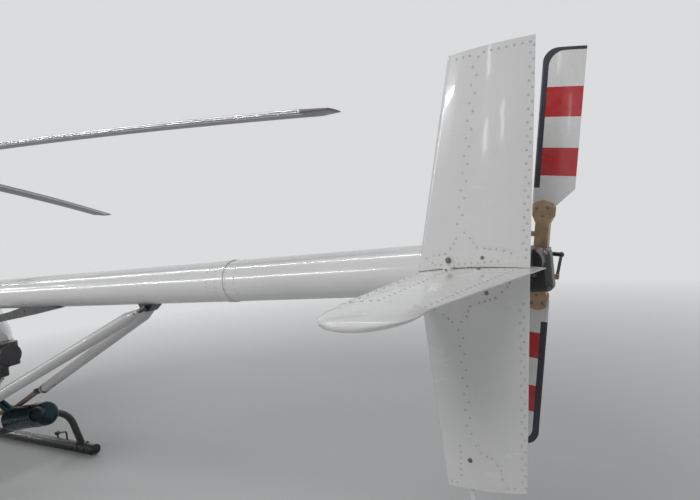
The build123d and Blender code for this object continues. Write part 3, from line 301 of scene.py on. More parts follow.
def rounded(points, radius, step=0.02):
    """Closed outline in two dimensions with its corners rounded, as evenly spaced points."""
    path = []
    count = len(points)
    for i in range(count):
        corner = Vector(points[i])
        back = (Vector(points[i - 1]) - corner).normalized()
        ahead = (Vector(points[(i + 1) % count]) - corner).normalized()
        half = back.angle(ahead) / 2.0
        cut = min(radius / math.tan(half), 0.45 * (Vector(points[i - 1]) - corner).length,
                  0.45 * (Vector(points[(i + 1) % count]) - corner).length)
        start, end = corner + back * cut, corner + ahead * cut
        for k in range(7):
            t = k / 6.0
            path.append(start * (1 - t) ** 2 + corner * 2 * t * (1 - t) + end * t ** 2)
    even = []
    for a, b in zip(path, path[1:] + path[:1]):
        pieces = max(1, round((b - a).length / step))
        even.extend(a.lerp(b, k / pieces) for k in range(pieces))
    return even


def grown(points, margin):
    """Outline moved outwards from its middle by a margin, for convex outlines given anticlockwise."""
    moved = []
    count = len(points)
    for i in range(count):
        before, here, after = Vector(points[i - 1]), Vector(points[i]), Vector(points[(i + 1) % count])
        a, b = (here - before).normalized(), (after - here).normalized()
        out = (Vector((a.y, -a.x)) + Vector((b.y, -b.x))).normalized()
        moved.append(here + out * margin / max(0.3, out.dot(Vector((a.y, -a.x)))))
    return moved


def add_rivet(piece, place, normal):
    """Domed head on a thin dark ring of dirt and painted shade, left out where another one is too near."""
    settings = bpy.context.scene.heli_rivets
    radius = settings.head / 2.0
    high = settings.height
    if any((place - other).length < 4.0 * radius for other in piece.rivets):
        return
    piece.rivets.append(place)
    # the darker ring round the head is dirt and painted shade
    piece.lathe(place, normal, [(radius * 1.25, -0.0004), (radius * 1.25, 0.0002)], 10, slot=1)
    piece.lathe(place, normal, [(radius, 0.0), (radius * 0.92, high * 0.55), (radius * 0.5, high * 0.93),
                                (0.0, high)], 10)


def add_bolt(piece, place, normal, scale=1.0, nut=False):
    """Hexagon head on a washer, with a thread's end where it is a nut."""
    across_flats = bpy.context.scene.heli_rivets.bolt * scale
    corner = across_flats / math.sqrt(3.0)
    high = across_flats * 0.42
    washer = [(corner * 1.3, -0.001), (corner * 1.3, high * 0.2), (corner * 1.2, high * 0.26)]
    head = [(corner, high * 0.2), (corner, high), (corner * 0.86, high * 1.14)]
    thread = [(corner * 0.52, high), (corner * 0.52, high * 1.7), (corner * 0.42, high * 1.85)]
    piece.lathe(place, normal, washer, 20)
    piece.lathe(place, normal, head, 6)
    if nut:
        piece.lathe(place, normal, thread, 12)


def flat_band(inner, outer, width, slope=0.001):
    """Profile of a flat band round a bar, with sloped edges."""
    return [(inner, 0.0), (outer, slope), (outer, width - slope), (inner, width)]


def rivet_on(piece, skin, origin, ray, reach=3.0, lift=0.0):
    """Rivet where a ray meets a surface, lifted off it by the thickness of a plate."""
    found = skin.hit(origin, ray, reach)
    if found:
        add_rivet(piece, found[0] + found[1] * lift, found[1])


def bolt_on(piece, skin, origin, ray, scale, lift=0.0):
    """Bolt where a ray meets a surface, lifted off it by the thickness of a plate."""
    found = skin.hit(origin, ray)
    if found:
        add_bolt(piece, found[0] + found[1] * lift, found[1], scale)


def on_side(skin, x, z, side):
    """Where the cabin's side is met from outside, or None."""
    return skin.hit(at(x, side * SIDE_REACH, z), PORT * -side)


def rivet_row(piece, skin, start, end, ray, pitch, stagger):
    """Rivets along a line, dropped on the surface along a ray, in one row or two staggered ones."""
    for i, origin in enumerate(between(start, end, pitch)):
        shift = FORWARD * stagger * (1 if i % 2 else -1) / 2.0
        rivet_on(piece, skin, origin + shift, ray)


# Materials

def material_named(name):
    return bpy.data.materials[FINISH_PREFIX + name]


def new_material(name):
    """(node tree, Principled shader) of a new finish."""
    material = bpy.data.materials.new(FINISH_PREFIX + name)
    material.use_nodes = True
    return material.node_tree, material.node_tree.nodes["Principled BSDF"]


def noise(tree, scale, detail=3.0, roughness=0.55, stretch=None):
    """Noise in the piece's own coordinates, drawn out along an axis where stretch says so."""
    coordinates = tree.nodes.new("ShaderNodeTexCoord")
    mapping = tree.nodes.new("ShaderNodeMapping")
    mapping.inputs["Scale"].default_value = stretch or (1.0, 1.0, 1.0)
    texture = tree.nodes.new("ShaderNodeTexNoise")
    texture.inputs["Scale"].default_value = scale
    texture.inputs["Detail"].default_value = detail
    texture.inputs["Roughness"].default_value = roughness
    tree.links.new(coordinates.outputs["Object"], mapping.inputs["Vector"])
    tree.links.new(mapping.outputs["Vector"], texture.inputs["Vector"])
    return texture.outputs["Fac"]


def spread(tree, value, low, high, from_low=0.3, from_high=0.7):
    """Maps a noise value to a range."""
    ranged = tree.nodes.new("ShaderNodeMapRange")
    ranged.inputs["From Min"].default_value = from_low
    ranged.inputs["From Max"].default_value = from_high
    ranged.inputs["To Min"].default_value = low
    ranged.inputs["To Max"].default_value = high
    tree.links.new(value, ranged.inputs["Value"])
    return ranged.outputs["Result"]


def mixed(tree, share, first, second):
    """Colour between two colours or colour outputs."""
    mix = tree.nodes.new("ShaderNodeMix")
    mix.data_type = "RGBA"
    tree.links.new(share, mix.inputs["Factor"])
    for socket, value in (("A", first), ("B", second)):
        target = [item for item in mix.inputs if item.name == socket and item.type == "RGBA"][0]
        if isinstance(value, bpy.types.NodeSocket):
            tree.links.new(value, target)
        else:
            target.default_value = (*value[:3], 1.0)
    return [item for item in mix.outputs if item.type == "RGBA"][0]


def combined(tree, operation, first, second):
    """A value worked out from two others."""
    math_node = tree.nodes.new("ShaderNodeMath")
    math_node.operation = operation
    tree.links.new(first, math_node.inputs[0])
    tree.links.new(second, math_node.inputs[1])
    return math_node.outputs["Value"]


def dusted(tree, tint, amount, dust_colour):
    """A tint under dust that lies on what faces up."""
    return mixed(tree, combined(tree, "MULTIPLY", upward(tree), amount), tint, dust_colour)


def mottled(tree, colour, scale, detail, roughness, darker, lighter):
    """A colour that drifts between two shades of itself."""
    cloud = noise(tree, scale, detail, roughness)
    return mixed(tree, spread(tree, cloud, 0.0, 1.0), shade(colour, darker), shade(colour, lighter))


def coated(shader, weight, roughness):
    shader.inputs["Coat Weight"].default_value = weight
    shader.inputs["Coat Roughness"].default_value = roughness


def bumped(tree, shader, heights, distance=0.001):
    """Fine relief from (value, strength) pairs, one bump on the next."""
    normal = None
    for value, strength in heights:
        bump = tree.nodes.new("ShaderNodeBump")
        bump.inputs["Strength"].default_value = strength
        bump.inputs["Distance"].default_value = distance
        tree.links.new(value, bump.inputs["Height"])
        if normal:
            tree.links.new(normal, bump.inputs["Normal"])
        normal = bump.outputs["Normal"]
    tree.links.new(normal, shader.inputs["Normal"])


def shade(colour, factor):
    return tuple(min(1.0, channel * factor) for channel in colour)


def upward(tree):
    """One on faces that look up, nought on those that look down."""
    geometry = tree.nodes.new("ShaderNodeNewGeometry")
    split = tree.nodes.new("ShaderNodeSeparateXYZ")
    tree.links.new(geometry.outputs["Normal"], split.inputs["Vector"])
    return spread(tree, split.outputs["Z"], 0.0, 1.0, 0.35, 1.0)


def paint(name, colour, roughness=0.22, coat=0.6, mottle=0.05, dust=0.25, wave=0.05):
    """Sprayed gloss paint: faint shade changes, orange peel, thin dust on what faces up."""
    tree, shader = new_material(name)
    tint = mottled(tree, colour, 2.2, 4.0, 0.55, 1.0 - mottle, 1.0 + mottle * 0.5)
    if dust:
        patchy = spread(tree, noise(tree, 9.0, 6.0, 0.65), 0.0, dust, 0.35, 0.75)
        tint = dusted(tree, tint, patchy, (0.46, 0.44, 0.40))
    tree.links.new(tint, shader.inputs["Base Color"])
    smear = noise(tree, 14.0, 5.0, 0.6, (0.4, 1.0, 1.0))
    tree.links.new(spread(tree, smear, roughness * 0.75, roughness * 1.5), shader.inputs["Roughness"])
    coated(shader, coat, 0.06)
    peel = noise(tree, 420.0, 2.0)
    sag = noise(tree, 5.0, 2.0)
    bumped(tree, shader, [(peel, 0.03), (sag, wave)])


def bare_metal(name, colour, roughness=0.38, brushed=(1.0, 1.0, 1.0), mottle=0.16, relief=0.12,
               metallic=1.0):
    """Bare or treated metal with brushing, stains and small dents."""
    tree, shader = new_material(name)
    tree.links.new(mottled(tree, colour, 26.0, 5.0, 0.65, 1.0 - mottle, 1.0 + mottle),
                   shader.inputs["Base Color"])
    grain = noise(tree, 260.0, 3.0, 0.6, brushed)
    tree.links.new(spread(tree, grain, roughness * 0.7, roughness * 1.35), shader.inputs["Roughness"])
    shader.inputs["Metallic"].default_value = metallic
    bumped(tree, shader, [(grain, relief), (noise(tree, 60.0, 3.0), relief * 0.6)], 0.0006)


def moulded(name, colour, roughness=0.55, grain_scale=900.0, relief=0.25, mottle=0.10):
    """Moulded plastic, rubber or powder coat with a fine grain."""
    tree, shader = new_material(name)
    tree.links.new(mottled(tree, colour, 8.0, 4.0, 0.55, 1.0 - mottle, 1.0 + mottle * 2.0),
                   shader.inputs["Base Color"])
    grain = noise(tree, grain_scale, 2.0)
    tree.links.new(spread(tree, noise(tree, 30.0, 4.0), roughness * 0.8, roughness * 1.2),
                   shader.inputs["Roughness"])
    bumped(tree, shader, [(grain, relief)], 0.0005)


def worn_black(name, colour, roughness=0.33):
    """Black enamel on steel tube, dusty on top and scuffed to grey in places."""
    tree, shader = new_material(name)
    scuff = spread(tree, noise(tree, 38.0, 8.0, 0.7), 0.0, 1.0, 0.60, 0.72)
    tint = mixed(tree, scuff, colour, shade(colour, 5.0))
    patchy = spread(tree, noise(tree, 12.0, 5.0), 0.03, 0.32)
    tree.links.new(dusted(tree, tint, patchy, (0.33, 0.31, 0.28)), shader.inputs["Base Color"])
    tree.links.new(spread(tree, noise(tree, 20.0, 5.0), roughness * 0.7, roughness * 1.6),
                   shader.inputs["Roughness"])
    coated(shader, 0.35, 0.15)
    bumped(tree, shader, [(noise(tree, 300.0, 2.0), 0.06), (noise(tree, 45.0, 3.0), 0.06)])


def colour_ramp(tree, stops):
    """Colours at positions along a value."""
    ramp = tree.nodes.new("ShaderNodeValToRGB")
    elements = ramp.color_ramp.elements
    for element, (position, colour) in zip((elements[0], elements[1]), (stops[0], stops[-1])):
        element.position = position
        element.color = (*colour, 1.0)
    for position, colour in stops[1:-1]:
        elements.new(position).color = (*colour, 1.0)
    return ramp


def heat_tint_and_sheen_steel(name):
    """Muffler steel, black with blue and straw heat tints along its length; the blue-green band is also a
    painted sheen.
    """
    tree, shader = new_material(name)
    drift = noise(tree, 3.2, 5.0, 0.6, (1.0, 1.0, 1.6))
    # the blue-green stop paints a sheen as well as heat tint
    ramp = colour_ramp(tree, ((0.30, (0.010, 0.011, 0.014)), (0.46, (0.012, 0.040, 0.050)),
                              (0.54, (0.014, 0.018, 0.026)), (0.64, (0.034, 0.026, 0.018)),
                              (0.74, (0.012, 0.012, 0.014))))
    tree.links.new(drift, ramp.inputs["Fac"])
    tree.links.new(ramp.outputs["Color"], shader.inputs["Base Color"])
    tree.links.new(spread(tree, noise(tree, 40.0, 5.0), 0.22, 0.42), shader.inputs["Roughness"])
    shader.inputs["Metallic"].default_value = 0.75
    bumped(tree, shader, [(noise(tree, 120.0, 3.0), 0.10), (noise(tree, 18.0, 2.0), 0.10)])


def shown_as(tree, share, first, second):
    """Makes a mix of two shaders what the material or the world shows."""
    blend = tree.nodes.new("ShaderNodeMixShader")
    tree.links.new(share, blend.inputs[0])
    tree.links.new(first.outputs[0], blend.inputs[1])
    tree.links.new(second.outputs[0], blend.inputs[2])
    output = next(node for node in tree.nodes if "Surface" in node.inputs)
    tree.links.new(blend.outputs["Shader"], output.inputs["Surface"])


def clear_pane(name, tint, roughness=0.0):
    """Acrylic pane with faint dust, which lets the lamps' light through."""
    tree, shader = new_material(name)
    shader.inputs["Base Color"].default_value = (*tint, 1.0)
    shader.inputs["Transmission Weight"].default_value = 1.0
    shader.inputs["IOR"].default_value = 1.12
    shader.inputs["Specular IOR Level"].default_value = 0.9
    haze = noise(tree, 7.0, 6.0, 0.7)
    tree.links.new(spread(tree, haze, roughness, roughness + 0.03, 0.45, 0.8), shader.inputs["Roughness"])
    coated(shader, 0.5, 0.02)
    bumped(tree, shader, [(noise(tree, 3.0, 1.0), 0.02)])
    paths = tree.nodes.new("ShaderNodeLightPath")
    through = tree.nodes.new("ShaderNodeBsdfTransparent")
    through.inputs["Color"].default_value = (*tint, 1.0)
    shown_as(tree, paths.outputs["Is Shadow Ray"], shader, through)


def weave(name, colour, thread=0.0016, relief=0.5, sheen=0.3):
    """Woven cloth: two sets of crossing threads in the piece's own coordinates."""
    tree, shader = new_material(name)
    coordinates = tree.nodes.new("ShaderNodeTexCoord")
    heights = []
    for axis in ("X", "Y"):
        wave = tree.nodes.new("ShaderNodeTexWave")
        wave.bands_direction = axis
        wave.inputs["Scale"].default_value = 0.32 / thread
        wave.inputs["Distortion"].default_value = 0.6
        tree.links.new(coordinates.outputs["Object"], wave.inputs["Vector"])
        heights.append((wave.outputs["Fac"], relief))
    tree.links.new(mottled(tree, colour, 11.0, 5.0, 0.6, 0.85, 1.15), shader.inputs["Base Color"])
    shader.inputs["Roughness"].default_value = 0.85
    shader.inputs["Sheen Weight"].default_value = sheen
    shader.inputs["Sheen Roughness"].default_value = 0.5
    bumped(tree, shader, heights, 0.0006)


def banded_blade(name, white, red):
    """Tail rotor paint: red warning bands by the distance from the hub, along the blades' lean."""
    tree, shader = new_material(name)
    coordinates = tree.nodes.new("ShaderNodeTexCoord")
    offset = tree.nodes.new("ShaderNodeVectorMath")
    offset.operation = "SUBTRACT"
    offset.inputs[1].default_value = TAIL_HUB
    along = tree.nodes.new("ShaderNodeVectorMath")
    along.operation = "DOT_PRODUCT"
    along.inputs[1].default_value = (-math.sin(TAIL_LEAN), 0.0, math.cos(TAIL_LEAN))
    distance = tree.nodes.new("ShaderNodeMath")
    distance.operation = "ABSOLUTE"
    tree.links.new(coordinates.outputs["Object"], offset.inputs[0])
    tree.links.new(offset.outputs["Vector"], along.inputs[0])
    tree.links.new(along.outputs["Value"], distance.inputs[0])
    ramp = colour_ramp(tree, ((0.0, white), (0.251, red), (0.336, white), (0.431, red), (0.521, white)))
    ramp.color_ramp.interpolation = "CONSTANT"
    tree.links.new(distance.outputs["Value"], ramp.inputs["Fac"])
    grime = spread(tree, noise(tree, 16.0, 6.0, 0.65), 0.0, 0.12, 0.45, 0.75)
    tint = mixed(tree, grime, ramp.outputs["Color"], (0.35, 0.33, 0.31))
    tree.links.new(tint, shader.inputs["Base Color"])
    tree.links.new(spread(tree, noise(tree, 22.0, 5.0), 0.16, 0.36), shader.inputs["Roughness"])
    coated(shader, 0.5, 0.08)
    bumped(tree, shader, [(noise(tree, 420.0, 2.0), 0.03), (noise(tree, 9.0, 2.0), 0.06)])


def make_materials():
    """Every finish of the helicopter."""
    colours = bpy.context.scene.heli_paint
    white = tuple(colours.body_white)
    paint("cabin_paint", white)
    paint("boom_paint", white, roughness=0.2, wave=0.09)
    # Struts: the body white darkened, a painted shade
    paint("strut_shaded_paint", shade(white, 0.66), roughness=0.3, coat=0.35, mottle=0.10, dust=0.15)
    paint("rivet_paint", shade(white, 0.88), roughness=0.3, coat=0.3, dust=0.0)
    # Darker ring round the rivet heads is dirt and painted shade; the boom's dark joint lines use it too
    moulded("rivet_dirt", (0.30, 0.285, 0.26), 0.8, 600.0, 0.1)
    banded_blade("tail_blade_paint", shade(white, 1.02), tuple(colours.band_red))
    worn_black("gear_black", tuple(colours.gear_black))
    worn_black("duct_black", (0.020, 0.020, 0.022), 0.45)
    moulded("cabin_trim", (0.060, 0.060, 0.065), 0.62, 500.0, 0.4)
    moulded("grip_rubber", (0.020, 0.020, 0.021), 0.7, 1200.0, 0.5)
    moulded("seal_rubber", (0.016, 0.016, 0.017), 0.6, 700.0, 0.2)
    moulded("edge_rubber", (0.030, 0.032, 0.044), 0.34, 500.0, 0.12)
    bare_metal("frame_tube", (0.30, 0.22, 0.16), 0.5, metallic=0.25, relief=0.06)
    bare_metal("engine_metal", (0.30, 0.30, 0.31), 0.5, relief=0.3)
    bare_metal("hub_steel", (0.36, 0.36, 0.37), 0.34)
    bare_metal("bolt_steel", (0.20, 0.195, 0.185), 0.42)
    bare_metal("fork_bronze", tuple(colours.fork_bronze), 0.42, metallic=0.55, mottle=0.28)
    bare_metal("blade_paint", tuple(colours.blade_grey), 0.42, metallic=0.0, mottle=0.12, relief=0.05)
    bare_metal("edge_steel", (0.46, 0.46, 0.47), 0.30, (0.05, 0.05, 1.0))
    heat_tint_and_sheen_steel("muffler_steel")
    clear_pane("clear_acrylic", (0.95, 0.975, 0.975))
    clear_pane("lamp_glass", (0.95, 0.95, 0.93), 0.06)
    weave("seat_cloth", (0.050, 0.052, 0.058))
    weave("belt_webbing", (0.045, 0.047, 0.052), 0.003, 0.6, 0.1)
    moulded("dial_black", (0.012, 0.012, 0.013), 0.5, 900.0, 0.05)
    moulded("dial_white", (0.75, 0.75, 0.72), 0.5, 900.0, 0.02, 0.03)


NODE_FINISH = {
    "cabin_tub": "cabin_paint", "cabin_roof": "cabin_paint", "engine_cowling": "cabin_paint",
    "mast_fairing": "cabin_paint", "door_left": "cabin_paint", "door_right": "cabin_paint",
    "windscreen": "clear_acrylic", "chin_windows": "clear_acrylic", "door_window_left": "clear_acrylic",
    "door_window_right": "clear_acrylic", "landing_lamp": "lamp_glass",
    "cabin_floor": "cabin_trim", "seat_base": "cabin_trim", "instrument_console": "cabin_trim",
    "firewall": "engine_metal", "flight_controls": "grip_rubber", "seat_left": "seat_cloth",
    "seat_right": "seat_cloth", "engine_block": "engine_metal", "rear_frame": "frame_tube",
    "mast_housing": "hub_steel", "muffler": "muffler_steel", "cooler_duct": "duct_black",
    "boom_front": "boom_paint", "boom_rear": "boom_paint", "boom_saddle": "duct_black",
    "strut_left": "strut_shaded_paint", "strut_right": "strut_shaded_paint", "strut_fittings": "gear_black",
    "fin": "boom_paint", "stabiliser": "boom_paint", "tail_guard": "boom_paint", "tail_gearbox": "duct_black",
    "skid_left": "gear_black", "skid_right": "gear_black", "cross_tube_front": "gear_black",
    "cross_tube_rear": "gear_black", "rotor_hub": "hub_steel", "blade_grips": "hub_steel",
    "main_blade_1": "blade_paint", "main_blade_2": "blade_paint", "main_blade_3": "blade_paint",
    "turning_swashplate": "hub_steel", "tail_rotor_hub": "gear_black", "tail_forks": "fork_bronze",
    "tail_blades": "tail_blade_paint", "tail_blade_strips": "edge_rubber",
}


class HELI_OT_finishes(bpy.types.Operator):
    """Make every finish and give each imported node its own"""

    bl_idname = "heli.finishes"
    bl_label = "Finishes"

    def execute(self, context):
        make_materials()
        for node, finish in NODE_FINISH.items():
            data = NODES[node].data
            data.materials.clear()
            data.materials.append(material_named(finish))
        return {"FINISHED"}


# Tail boom

class HELI_OT_boom_details(bpy.types.Operator):
    """Rivets and seams along the tail boom"""

    bl_idname = "heli.boom_details"
    bl_label = "Boom details"

    ring_count = 24
    ring_offsets = (-0.075, -0.028, 0.028, 0.075)
    # x and height over the boom's middle of three loose rivets on its port side
    patch_rivets = ((-2.640, 0.051), (-2.690, 0.034), (-2.755, 0.058))
    patch_reach = 0.3
    seam_offset = 0.0172
    seam_radius = BOOM_RADIUS * 1.004
    seam_thickness = 0.0011

    def execute(self, context):
        skin = Skin("boom_front", "boom_rear")
        rivets = Piece()
        for offset in self.ring_offsets:
            for angle in turns(self.ring_count, 0.5 if offset > 0 else 0.0):
                out = Vector((0.0, math.cos(angle), math.sin(angle)))
                middle = at(BOOM_JOINT_X + offset, 0.0, BOOM_Z)
                rivet_on(rivets, skin, middle + out * NEAR_REACH, -out, NEAR_REACH)
        for x, height in self.patch_rivets:
            rivet_on(rivets, skin, at(x, self.patch_reach, BOOM_Z + height), -PORT)
        rivets.finished("boom_rivets", AIRFRAME, RIVET_FINISHES, "boom_paint")
        seams = Piece()
        for x in (BOOM_JOINT_X - self.seam_offset, BOOM_JOINT_X + self.seam_offset):
            circle = [at(x, self.seam_radius * math.cos(a), BOOM_Z + self.seam_radius * math.sin(a))
                      for a in turns(64)]
            seams.tube(circle, self.seam_thickness, 6, closed=True)
        seams.finished("boom_joint_seams", AIRFRAME, "rivet_dirt")
        return {"FINISHED"}


# Fin and stabiliser

class HELI_OT_fin_rivets(bpy.types.Operator):
    """Rivet rows, doubler plates and bolts on both faces of the fin"""

    bl_idname = "heli.fin_rivets"
    bl_label = "Fin rivets"

    # columns: start x, start z, end x, end z, pitch, stagger
    rows = (
        (-3.949, 1.466, -4.048, 1.935, 0.024, 0.013),
        (-4.194, 1.935, -4.122, 1.400, 0.018, 0.009),
        (-3.992, 1.944, -4.190, 1.944, 0.020, 0.0),
        (-3.838, 1.396, -4.122, 1.378, 0.021, 0.0),
        (-3.922, 1.206, -3.913, 0.846, 0.024, 0.012),
        (-4.100, 1.250, -4.053, 0.715, 0.018, 0.009),
        (-3.838, 0.712, -4.048, 0.712, 0.019, 0.0),
        (-3.845, 1.262, -4.020, 1.285, 0.021, 0.0),
    )
    upper_plate = ((-3.850, 1.366), (-4.122, 1.366), (-4.116, 1.392), (-4.052, 1.418), (-4.004, 1.424),
                   (-3.975, 1.470), (-3.945, 1.476), (-3.925, 1.440), (-3.900, 1.415), (-3.846, 1.412))
    middle_plate = ((-3.852, 1.300), (-4.060, 1.306), (-4.030, 1.280), (-3.985, 1.268), (-3.955, 1.262),
                    (-3.930, 1.212), (-3.905, 1.212), (-3.880, 1.235), (-3.855, 1.245))
    lower_plate = ((-3.862, 0.702), (-4.004, 0.702), (-4.006, 0.765), (-3.982, 0.806), (-3.950, 0.818),
                   (-3.940, 0.840), (-3.905, 0.856), (-3.872, 0.838))
    # columns: x, z, scale
    bolts = ((-4.009, 1.388, 0.55), (-3.907, 0.788, 0.75), (-4.010, 1.287, 0.6))
    # how far a plate stands out of the skin and reaches into it
    plate_out = 0.0009
    plate_in = 0.0006
    plate_corner = 0.012
    rivet_margin = 0.009
    rivet_pitch = 0.0185

    def plate(self, piece, skin, outline, side):
        """Thin plate that follows the fin's skin inside an outline."""
        flat = bmesh.new()
        middle = sum((Vector(corner) for corner in outline), Vector((0.0, 0.0))) / len(outline)
        rim = [flat.verts.new((p.x, 0.0, p.y)) for p in rounded(outline, self.plate_corner, 0.008)]
        centre = flat.verts.new((middle.x, 0.0, middle.y))
        for i, vert in enumerate(rim):
            flat.faces.new((vert, rim[(i + 1) % len(rim)], centre))
        bmesh.ops.subdivide_edges(flat, edges=flat.edges[:], cuts=2, use_grid_fill=True)
        bmesh.ops.triangulate(flat, faces=flat.faces[:])
        made = {}
        for vert in flat.verts:
            found = skin.hit(at(vert.co.x, FIN_Y + side * NEAR_REACH, vert.co.z), PORT * -side)
            if not found:
                flat.free()
                return
            place, normal = found
            made[vert] = (piece.mesh.verts.new(place + normal * self.plate_out),
                          piece.mesh.verts.new(place - normal * self.plate_in))
        for face in flat.faces:
            piece.mesh.faces.new([made[vert][0] for vert in face.verts])
            piece.mesh.faces.new([made[vert][1] for vert in reversed(face.verts)])
        for edge in flat.edges:
            if len(edge.link_faces) == 1:
                a, b = edge.verts
                piece.mesh.faces.new((made[a][0], made[b][0], made[b][1], made[a][1]))
        flat.free()

    def execute(self, context):
        skin = Skin("fin")
        rivets, plates, bolts = Piece(), Piece(), Piece()
        for side in (1, -1):
            ray = PORT * -side
            from_y = FIN_Y + side * NEAR_REACH
            for x1, z1, x2, z2, pitch, stagger in self.rows:
                rivet_row(rivets, skin, at(x1, from_y, z1), at(x2, from_y, z2), ray, pitch, stagger)
            for outline in (self.upper_plate, self.middle_plate, self.lower_plate):
                self.plate(plates, skin, outline, side)
                inner = grown(list(reversed(outline)), -self.rivet_margin)
                for spot in rounded(inner, 0.008, self.rivet_pitch):
                    rivet_on(rivets, skin, at(spot.x, from_y, spot.y), ray, lift=self.plate_out)
            for x, z, scale in self.bolts:
                bolt_on(bolts, skin, at(x, from_y, z), ray, scale, lift=self.plate_out)
        rivets.finished("fin_rivets", AIRFRAME, RIVET_FINISHES, "boom_paint")
        plates.finished("fin_doubler_plates", AIRFRAME, "boom_paint", "boom_paint")
        bolts.finished("fin_bolts", AIRFRAME, "bolt_steel")
        return {"FINISHED"}


class HELI_OT_stabiliser_rivets(bpy.types.Operator):
    """Rivet rows on both faces of the stabiliser, its bracket, bolts, a painted shadow line at its root and
    tip cap
    """

    bl_idname = "heli.stabiliser_rivets"
    bl_label = "Stabiliser rivets"

    # columns: start x, start y, end x, end y, pitch, stagger
    rows = (
        (-3.822, 0.160, -3.862, 0.640, 0.024, 0.011),
        (-4.098, 0.170, -4.046, 0.640, 0.024, 0.0),
        (-3.925, 0.160, -3.940, 0.640, 0.028, 0.0),
        (-3.856, 0.646, -4.040, 0.646, 0.022, 0.0),
        (-3.815, 0.160, -4.095, 0.160, 0.022, 0.0),
    )
    bolt_x = (-3.910, -4.005)
    bolt_y = 0.172
    bracket_x = -3.9125
    bracket_bolt_z = 1.389
    # dark line along the stabiliser's root, a painted shadow of the gap: start x, run, y, radius and lift off
    # the fin
    shade_line_from_x = -3.805
    shade_line_run = 0.325
    shade_line_y = 0.165
    seam_radius = 0.0017
    shade_line_lift = 0.0008
    # the tip cap's inner end, how far it goes out, half its chord and half its thickness
    cap_y = 0.656
    cap_reach = 0.152
    cap_half_chord = 0.1125
    cap_half_thickness = 0.0208
    cap_middle_x = -3.946
    cap_sleeve = 0.044

    def execute(self, context):
        skin = Skin("stabiliser")
        rivets, bolts = Piece(), Piece()
        for side in (1, -1):
            from_z = STABILISER_Z + side * NEAR_REACH
            for x1, y1, x2, y2, pitch, stagger in self.rows:
                rivet_row(rivets, skin, at(x1, y1, from_z), at(x2, y2, from_z), UP * -side, pitch, stagger)
            for x in self.bolt_x:
                bolt_on(bolts, skin, at(x, self.bolt_y, from_z), UP * -side, 0.6)
        rivets.finished("stabiliser_rivets", AIRFRAME, RIVET_FINISHES, "boom_paint")
        bracket = Piece()
        bracket.block(at(self.bracket_x, 0.1475, 1.376), (0.026, 0.006, 0.034), bevel=0.0014)
        bracket.block(at(self.bracket_x, 0.160, 1.3645), (0.026, 0.028, 0.008), bevel=0.0014)
        boss = [(0.0095, 0.0), (0.0095, 0.006), (0.0, 0.0065)]
        bracket.lathe(at(self.bracket_x, 0.149, self.bracket_bolt_z), PORT, boss, 20)
        bracket.finished("stabiliser_bracket", AIRFRAME, "boom_paint", "boom_paint")
        add_bolt(bolts, at(self.bracket_x, 0.155, self.bracket_bolt_z), PORT, 0.9)
        bolts.finished("stabiliser_bolts", AIRFRAME, "bolt_steel")
        self.root_shade_line(skin)
        self.tip_cap()
        return {"FINISHED"}

    def root_shade_line(self, skin):
        """Dark line painted as the shadow in the gap where the stabiliser meets the fin's side."""
        seam = Piece()
        fin = Skin("fin")
        for side in (1, -1):
            line = []
            for i in range(29):
                x = self.shade_line_from_x - self.shade_line_run * i / 28.0
                top = skin.hit(at(x, self.shade_line_y, STABILISER_Z + side * NEAR_REACH), UP * -side)
                if top:
                    wall = fin.hit(Vector((top[0].x, MAST.y + 0.3, top[0].z)), -PORT)
                    if wall:
                        line.append(Vector((top[0].x, wall[0].y + self.shade_line_lift, top[0].z)))
            if len(line) > 2:
                # black tube along the root: painted shadow of the gap
                seam.tube(line, self.seam_radius, 8)
        seam.finished("stabiliser_root_shade_line", AIRFRAME, "seal_rubber")

    def tip_cap(self):
        """Moulded cap, rounded in plan, over the stabiliser's outer end."""
        cap = Piece()
        rings = []
        for i in range(13):
            swing = math.radians(89.0) * max(0, i - 2) / 10.0
            y = (self.cap_y + self.cap_sleeve * min(i, 2) / 2.0
                 + (self.cap_reach - self.cap_sleeve) * math.sin(swing))
            wide = self.cap_half_chord * math.cos(swing) ** 0.9
            deep = self.cap_half_thickness * math.cos(swing) ** 0.6
            centre = self.cap_middle_x - 0.10 * (y - self.cap_y)
            ring = []
            for angle in turns(28):
                along = math.cos(angle)
                blunt = abs(math.sin(angle)) ** (0.8 if along > 0.0 else 1.15)
                height = math.copysign(deep * blunt, math.sin(angle))
                ring.append(at(centre + wide * along, y, STABILISER_Z + height))
            rings.append(ring)
        cap.loops(rings)
        cap.finished("stabiliser_tip_cap", AIRFRAME, "boom_paint", "boom_paint")


# Tail rotor and struts

